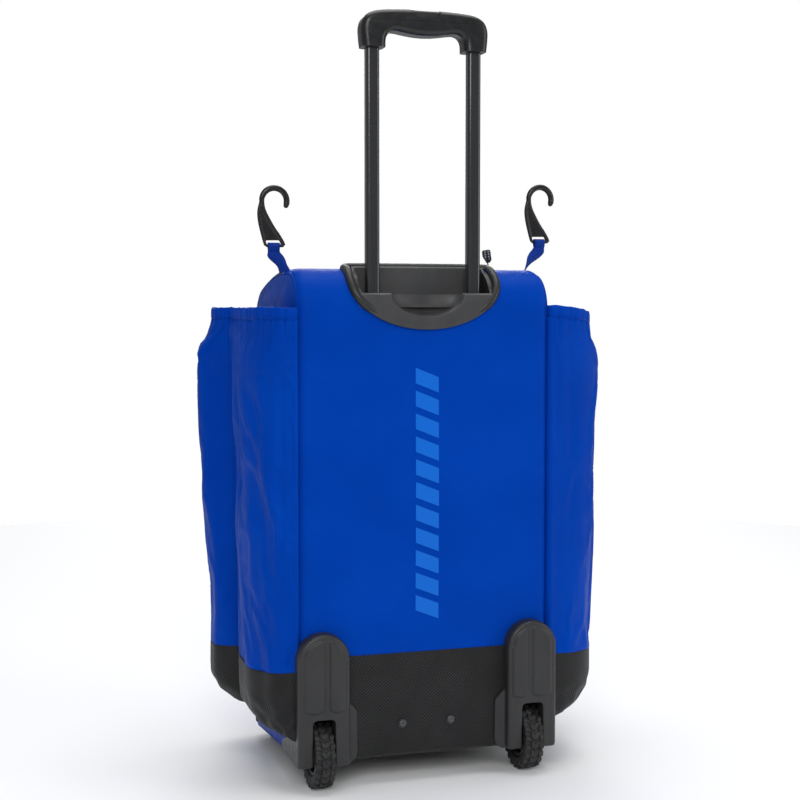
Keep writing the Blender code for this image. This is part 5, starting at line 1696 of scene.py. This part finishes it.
def main_zip():
    """The two tapes and rows of teeth of the long zip."""
    outer = zip_strip("zip_tape_frame", (0.0002, -0.0025, -0.0050, -0.0085),
                      (-0.0002, -0.0002, -0.0006, -0.0016), "tape")
    thick(outer, 0.0006)
    fit_out(outer, "body", "zip", "zip_chain_frame")
    inner = zip_strip("zip_tape_flap", (0.0075, 0.0050, 0.0025, 0.0003), (-0.0016, -0.0006, -0.0002, -0.0002),
                      "tape")
    thick(inner, 0.0006)
    goes_with_flap(inner, "zip", "zip_chain_flap")
    fit_out(zip_teeth("zip_teeth_frame", -0.0007, 0), "body", "zip")
    goes_with_flap(zip_teeth("zip_teeth_flap", 0.0009, 1), "zip")
    tape = [on_body(FOOT_RUN + 0.0035, a, 0.0006) for a in np.linspace(-SEAM_ACROSS, SEAM_ACROSS, 60)]
    fit_out(tube_along("flap_foot_seam", tape, 0.0011, "weave", sides=8), "body", "black_weave")


def slider(name, node, facing):
    """A die-cast slider: a body open at both ends, and the bridge that holds its pull. It is built flat,
    with x along the zip and z away from the cloth, then put on its CAD box."""
    shoe = [(-0.0058, -0.0024), (-0.0046, -0.0038), (-0.0010, -0.0040), (0.0030, -0.0034), (0.0058, -0.0026),
            (0.0058, 0.0026), (0.0030, 0.0034), (-0.0010, 0.0040), (-0.0046, 0.0038), (-0.0058, 0.0024)]
    parts = [prism("upper", shoe, "z", (0.0012, 0.0024), "teeth", 0.0004, 2),
             prism("lower", shoe, "z", (-0.0014, -0.0006), "teeth", 0.0002, 1)]
    wedge = [(0.0050, -0.0010), (0.0056, 0.0), (0.0050, 0.0010), (0.0020, 0.0004), (0.0020, -0.0004)]
    parts.append(prism("wedge", wedge, "z", (-0.0008, 0.0016), "teeth"))
    bridge = [(-0.0040, 0.0, 0.0022), (-0.0034, 0.0, 0.0034), (-0.0010, 0.0, 0.0040), (0.0016, 0.0, 0.0038),
              (0.0036, 0.0, 0.0022)]
    parts.append(tube_along("bridge", rounded_line(bridge, 4), 0.0007, "teeth", sides=8))
    obj = joined(name, parts, "teeth")
    near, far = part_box(node)
    middle = (near + far) / 2
    if facing == "z":
        obj.data.transform(Matrix.Translation((middle.x, middle.y, near.z + 0.0002)))
    else:
        place = Matrix.Translation((middle.x, near.y + 0.0002, middle.z))
        obj.data.transform(place @ Matrix.Rotation(math.radians(-90), 4, "X"))
    return obj


def pull_tag(name, width, length, lean):
    """A flexible rubber pull: an eye, a short neck and a flat tag with raised dots on both faces. Its eye
    is at the origin and it stands along z."""
    neck = [(0.0, 0.0), (0.004 * lean, 0.004), (0.0075 * lean, 0.0085)]
    eye = [Vector((0.0015 * math.cos(a), 0, 0.0015 * math.sin(a)))
           for a in np.linspace(0, 2 * math.pi, 20)[:-1]]
    parts = [tube_along("eye", eye, 0.0006, "rubber", closed=True, sides=8)]
    line = [Vector((x, 0, z)) for x, z in neck]
    parts.append(tube_along("neck", rounded_line([Vector((0, 0, 0.0012))] + line[1:], 4), 0.0011, "rubber",
                            sides=8))
    foot = line[-1]
    turn = math.atan2(0.55 * lean, 1.0)
    half = width / 2
    outline = [(-half * 0.25, -0.001), (half * 0.55, -0.001), (half, 0.003), (half, length - 0.002),
               (half - 0.002, length), (-half + 0.002, length), (-half, length - 0.002), (-half, 0.0092)]
    tag = prism("tag", outline, "y", (-0.0012, 0.0012), "rubber", 0.0005, 2)
    dots = []
    for face in (-1, 1):
        for row in range(4):
            for column in range(2):
                x = (column - 0.5) * half * 0.85
                z = 0.0045 + row * (length - 0.0075) / 3
                size = min(0.0015, half * 0.24) * (1 if row else 0.6)
                profile = [(0.00005, 0.0015), (size * 0.8, 0.0014), (size, 0.0010), (0.00005, 0.0010)]
                dots.append(turned("dot", [(r, face * y) for r, y in profile], (x, 0, z), "y", "mark", 10,
                                   closed=False))
    place = Matrix.Translation(foot) @ Matrix.Rotation(turn, 4, "Y")
    tag.data.transform(place)
    figure = joined("figure", dots, "mark")
    figure.data.transform(place)
    body = joined(name, parts + [tag], "rubber")
    crease_at(body, 40)
    return body, figure


def zip_hardware(zip_name, facing, width, length, lean):
    """The slider of a zip and its pull: the pull stands where the zip faces z and hangs where it faces y."""
    fit_out(slider(f"{zip_name}_slider_body", f"{zip_name}_zip_slider", facing), f"{zip_name}_slider", "zip",
            f"{zip_name}_zip_slider")
    near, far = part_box(f"{zip_name}_zip_pull")
    tag, figure = pull_tag(f"{zip_name}_pull_tag", width, length, lean)
    figure.name = f"{zip_name}_pull_figure"
    eye_z = near.z + PULL_EYE if facing == "z" else far.z - PULL_EYE
    place = Matrix.Translation(((near.x + far.x) / 2, (near.y + far.y) / 2, eye_z))
    if facing == "y":
        place = place @ Matrix.Rotation(math.radians(180), 4, "X")
    for obj in (tag, figure):
        obj.data.transform(place)
    fit_out(tag, f"{zip_name}_pull", "rubber", f"{zip_name}_zip_pull")
    fit_out(figure, f"{zip_name}_pull", "rubber")


# ---------------------------------------------------------------- front pocket
POCKET_X = high("front_pocket").x
POCKET_Z = (low("front_pocket").z, high("front_pocket").z)
POCKET_Y = (low("front_pocket").y, high("front_pocket").y)
POCKET_ZIP_Z = (low("pocket_zip_chain").z + high("pocket_zip_chain").z) / 2
POCKET_ZIP_X = high("pocket_zip_chain").x
GUSSET_SHARE = 0.92


def rounded_boundary(u, v, half_x, half_z, radius):
    """The point of a rounded rectangle in the direction of (u, v) of a square."""
    x, z = u * half_x, v * half_z
    corner_x, corner_z = half_x - radius, half_z - radius
    out_x, out_z = max(0.0, abs(x) - corner_x), max(0.0, abs(z) - corner_z)
    if out_x > 0 and out_z > 0:
        size = math.hypot(out_x, out_z)
        x = math.copysign(corner_x + radius * out_x / size, x)
        z = math.copysign(corner_z + radius * out_z / size, z)
    return x, z


def front_pocket():
    """A pouch on the flap: a gusset, and a front that a little stuffing swells, with a zip near its top."""
    middle = sum(POCKET_Z) / 2
    half_z = (POCKET_Z[1] - POCKET_Z[0]) / 2
    edge_y, foot_y = POCKET_Y[0] + 0.0125, POCKET_Y[0] + 0.0018
    share_x = np.linspace(-1, 1, 66)
    share_z = np.linspace(-1, 1, 78)
    rows = []
    for v in share_z:
        row = []
        for u in share_x:
            reach = max(abs(u), abs(v), 1e-6)
            x, z = rounded_boundary(u / reach, v / reach, POCKET_X - 0.002, half_z - 0.002, 0.022)
            part = min(1.0, reach / GUSSET_SHARE)
            back = max(0.0, (reach - GUSSET_SHARE) / (1 - GUSSET_SHARE))
            crown = 0.006 * (1 - min(1.0, (x * part / POCKET_X) ** 2))
            crown *= 1 - min(1.0, (z * part / half_z) ** 2)
            y = edge_y - (edge_y - foot_y) * back + crown
            row.append((x * part * (1 + 0.012 * back), y, middle + z * part * (1 + 0.008 * back)))
        rows.append(row)
    obj = surface("front_pouch", rows, "blue", flip=True)
    held = [vert.index for vert in obj.data.vertices if vert.co.y < edge_y + 0.0002]
    settled(obj, held, 2.5, 0.006)
    zip_y = POCKET_Y[1] - 0.0026
    for vert in obj.data.vertices:
        along = abs(vert.co.z - POCKET_ZIP_Z)
        near = float(1 - smoothstep(0.004, 0.016, along))
        inside = float(1 - smoothstep(POCKET_ZIP_X, POCKET_ZIP_X + 0.006, abs(vert.co.x)))
        vert.co.y += (zip_y - vert.co.y) * near * inside
        fold = noise.noise(Vector((vert.co.x * 16, vert.co.z * 11, 2.0)))
        vert.co.y += 0.0012 * fold * (vert.co.y > edge_y + 0.001) * (1 - near * inside)
        vert.co.y = min(vert.co.y, POCKET_Y[1] + 0.006)
    thick(obj, CLOTH * 0.8)
    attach(obj, "flap")
    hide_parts("front_pocket")
    loops = ((GUSSET_SHARE, edge_y + 0.0004, 0.0015, "pouch_piping", "weave"),
             (1.0, foot_y + 0.0006, 0.0012, "pouch_foot_seam", "blue"))
    for reach, y, radius, name, look in loops:
        grow = 1.0 if reach < 1 else 1.01
        line = []
        for a in np.linspace(0, 8, 240, endpoint=False):
            side, along = int(a // 2), a % 2 - 1
            u, v = ((along, -1), (1, along), (-along, 1), (-1, -along))[side]
            x, z = rounded_boundary(u, v, POCKET_X - 0.002, half_z - 0.002, 0.022)
            line.append((x * grow, y, middle + z * grow))
        line = resampled(line + line[:1], 0.004)[:-1]
        fit_out(tube_along(name, line, radius, look, closed=True, sides=8), "flap", "blue_fabric")
    xs = np.linspace(-POCKET_ZIP_X, POCKET_ZIP_X, 60)
    face = POCKET_Y[1] - 0.0020
    tape = surface("pouch_zip_tape", [[(x, face - 0.0002, POCKET_ZIP_Z + dz) for x in xs]
                                      for dz in (-0.0044, 0.0, 0.0044)],
                   "tape", flip=True)
    thick(tape, 0.0006)
    fit_out(tape, "flap", "zip", "pocket_zip_chain")
    rows = []
    for side, start in ((-1, 0), (1, 1)):
        xs = np.arange(-POCKET_ZIP_X + 0.002 + start * TOOTH_PITCH / 2, POCKET_ZIP_X - 0.002, TOOTH_PITCH)
        ones = np.ones(len(xs))
        place = np.stack([xs, ones * (face + 0.0003), ones * (POCKET_ZIP_Z + side * 0.0008)], axis=1)
        ahead = np.tile((1.0, 0.0, 0.0), (len(xs), 1))
        rows.append(teeth("row", place, ahead, np.tile((0.0, 0.0, 1.0), (len(xs), 1)),
                          np.tile((0.0, 1.0, 0.0), (len(xs), 1))))
    fit_out(joined("pouch_zip_teeth", rows, "teeth"), "flap", "zip")


# ---------------------------------------------------------------- feet and parts kept from the frame
def front_foot(side):
    """A rubber foot: a tapered block with grooves across its sole."""
    near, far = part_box(f"front_foot_{side}")
    foot = block("foot", (near.x, near.y, 0.0), (far.x, far.y, far.z), "rubber", 0.0040, 4)
    for vert in foot.data.vertices:
        taper = 1 - 0.10 * (1 - vert.co.z / far.z)
        vert.co.x = (near.x + far.x) / 2 + (vert.co.x - (near.x + far.x) / 2) * taper
        vert.co.y = (near.y + far.y) / 2 + (vert.co.y - (near.y + far.y) / 2) * taper
        slope = (vert.co.y - near.y) / (far.y - near.y)
        if vert.co.z > far.z - 0.004:
            vert.co.z = base_z(vert.co.y) + 0.0012 - (far.z - vert.co.z) * slope
    cutters = [block("groove", (near.x - 0.01, near.y + t, -0.001),
                     (far.x + 0.01, near.y + t + 0.0022, 0.0016), "rubber")
               for t in np.arange(0.008, 0.037, 0.0065)]
    cut_by(foot, *cutters)
    foot.name = f"rubber_foot_{side}"
    crease_at(foot, 40)
    return fit_out(foot, "body", "rubber", f"front_foot_{side}")


KEPT = {
    "back_board": "rim", "foot_bracket": "bolt", "lock_pin": "steel", "outer_tube": "alloy",
    "push_rod": "steel", "push_yoke": "hub", "tube_plug": "hub", "wheel_axle": "steel",
    "wheel_bearing": "steel",
}


def finish_kept():
    """Detailed materials for the parts that show as the frame has them."""
    for name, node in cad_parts.items():
        for start, look in KEPT.items():
            if name.startswith(start):
                for place in node.material_slots:
                    place.material = LOOKS[look]


# ---------------------------------------------------------------- assembly
def build():
    """Every piece of the bag."""
    back_panel()
    black_panels()
    for side, sign in SIDES.items():
        side_panel(side, sign)
    piping()
    tonal_figure()
    for (side, sign), seed in zip(SIDES.items(), (3, 8)):
        sleeve(side, sign, seed)
        hem(side, sign, seed)
        inner_tube(side, sign)
        wheel_housing(side, sign)
        tyre(side, sign)
        hub(side, sign)
        bolt(side)
        hook(side)
        front_foot(side)
    grip()
    button_spring()
    handle_cup()
    flap()
    main_zip()
    zip_hardware("main", "z", 0.0136, 0.0190, -0.25)
    zip_hardware("pocket", "y", 0.0068, 0.0165, 0.0)
    front_pocket()
    finish_kept()
    strap("left", -1, math.radians(-38))
    strap("right", 1, math.radians(72))


bpy.context.scene.view_settings.view_transform = "Standard"
add_camera()
add_lights()
add_floor()
build()
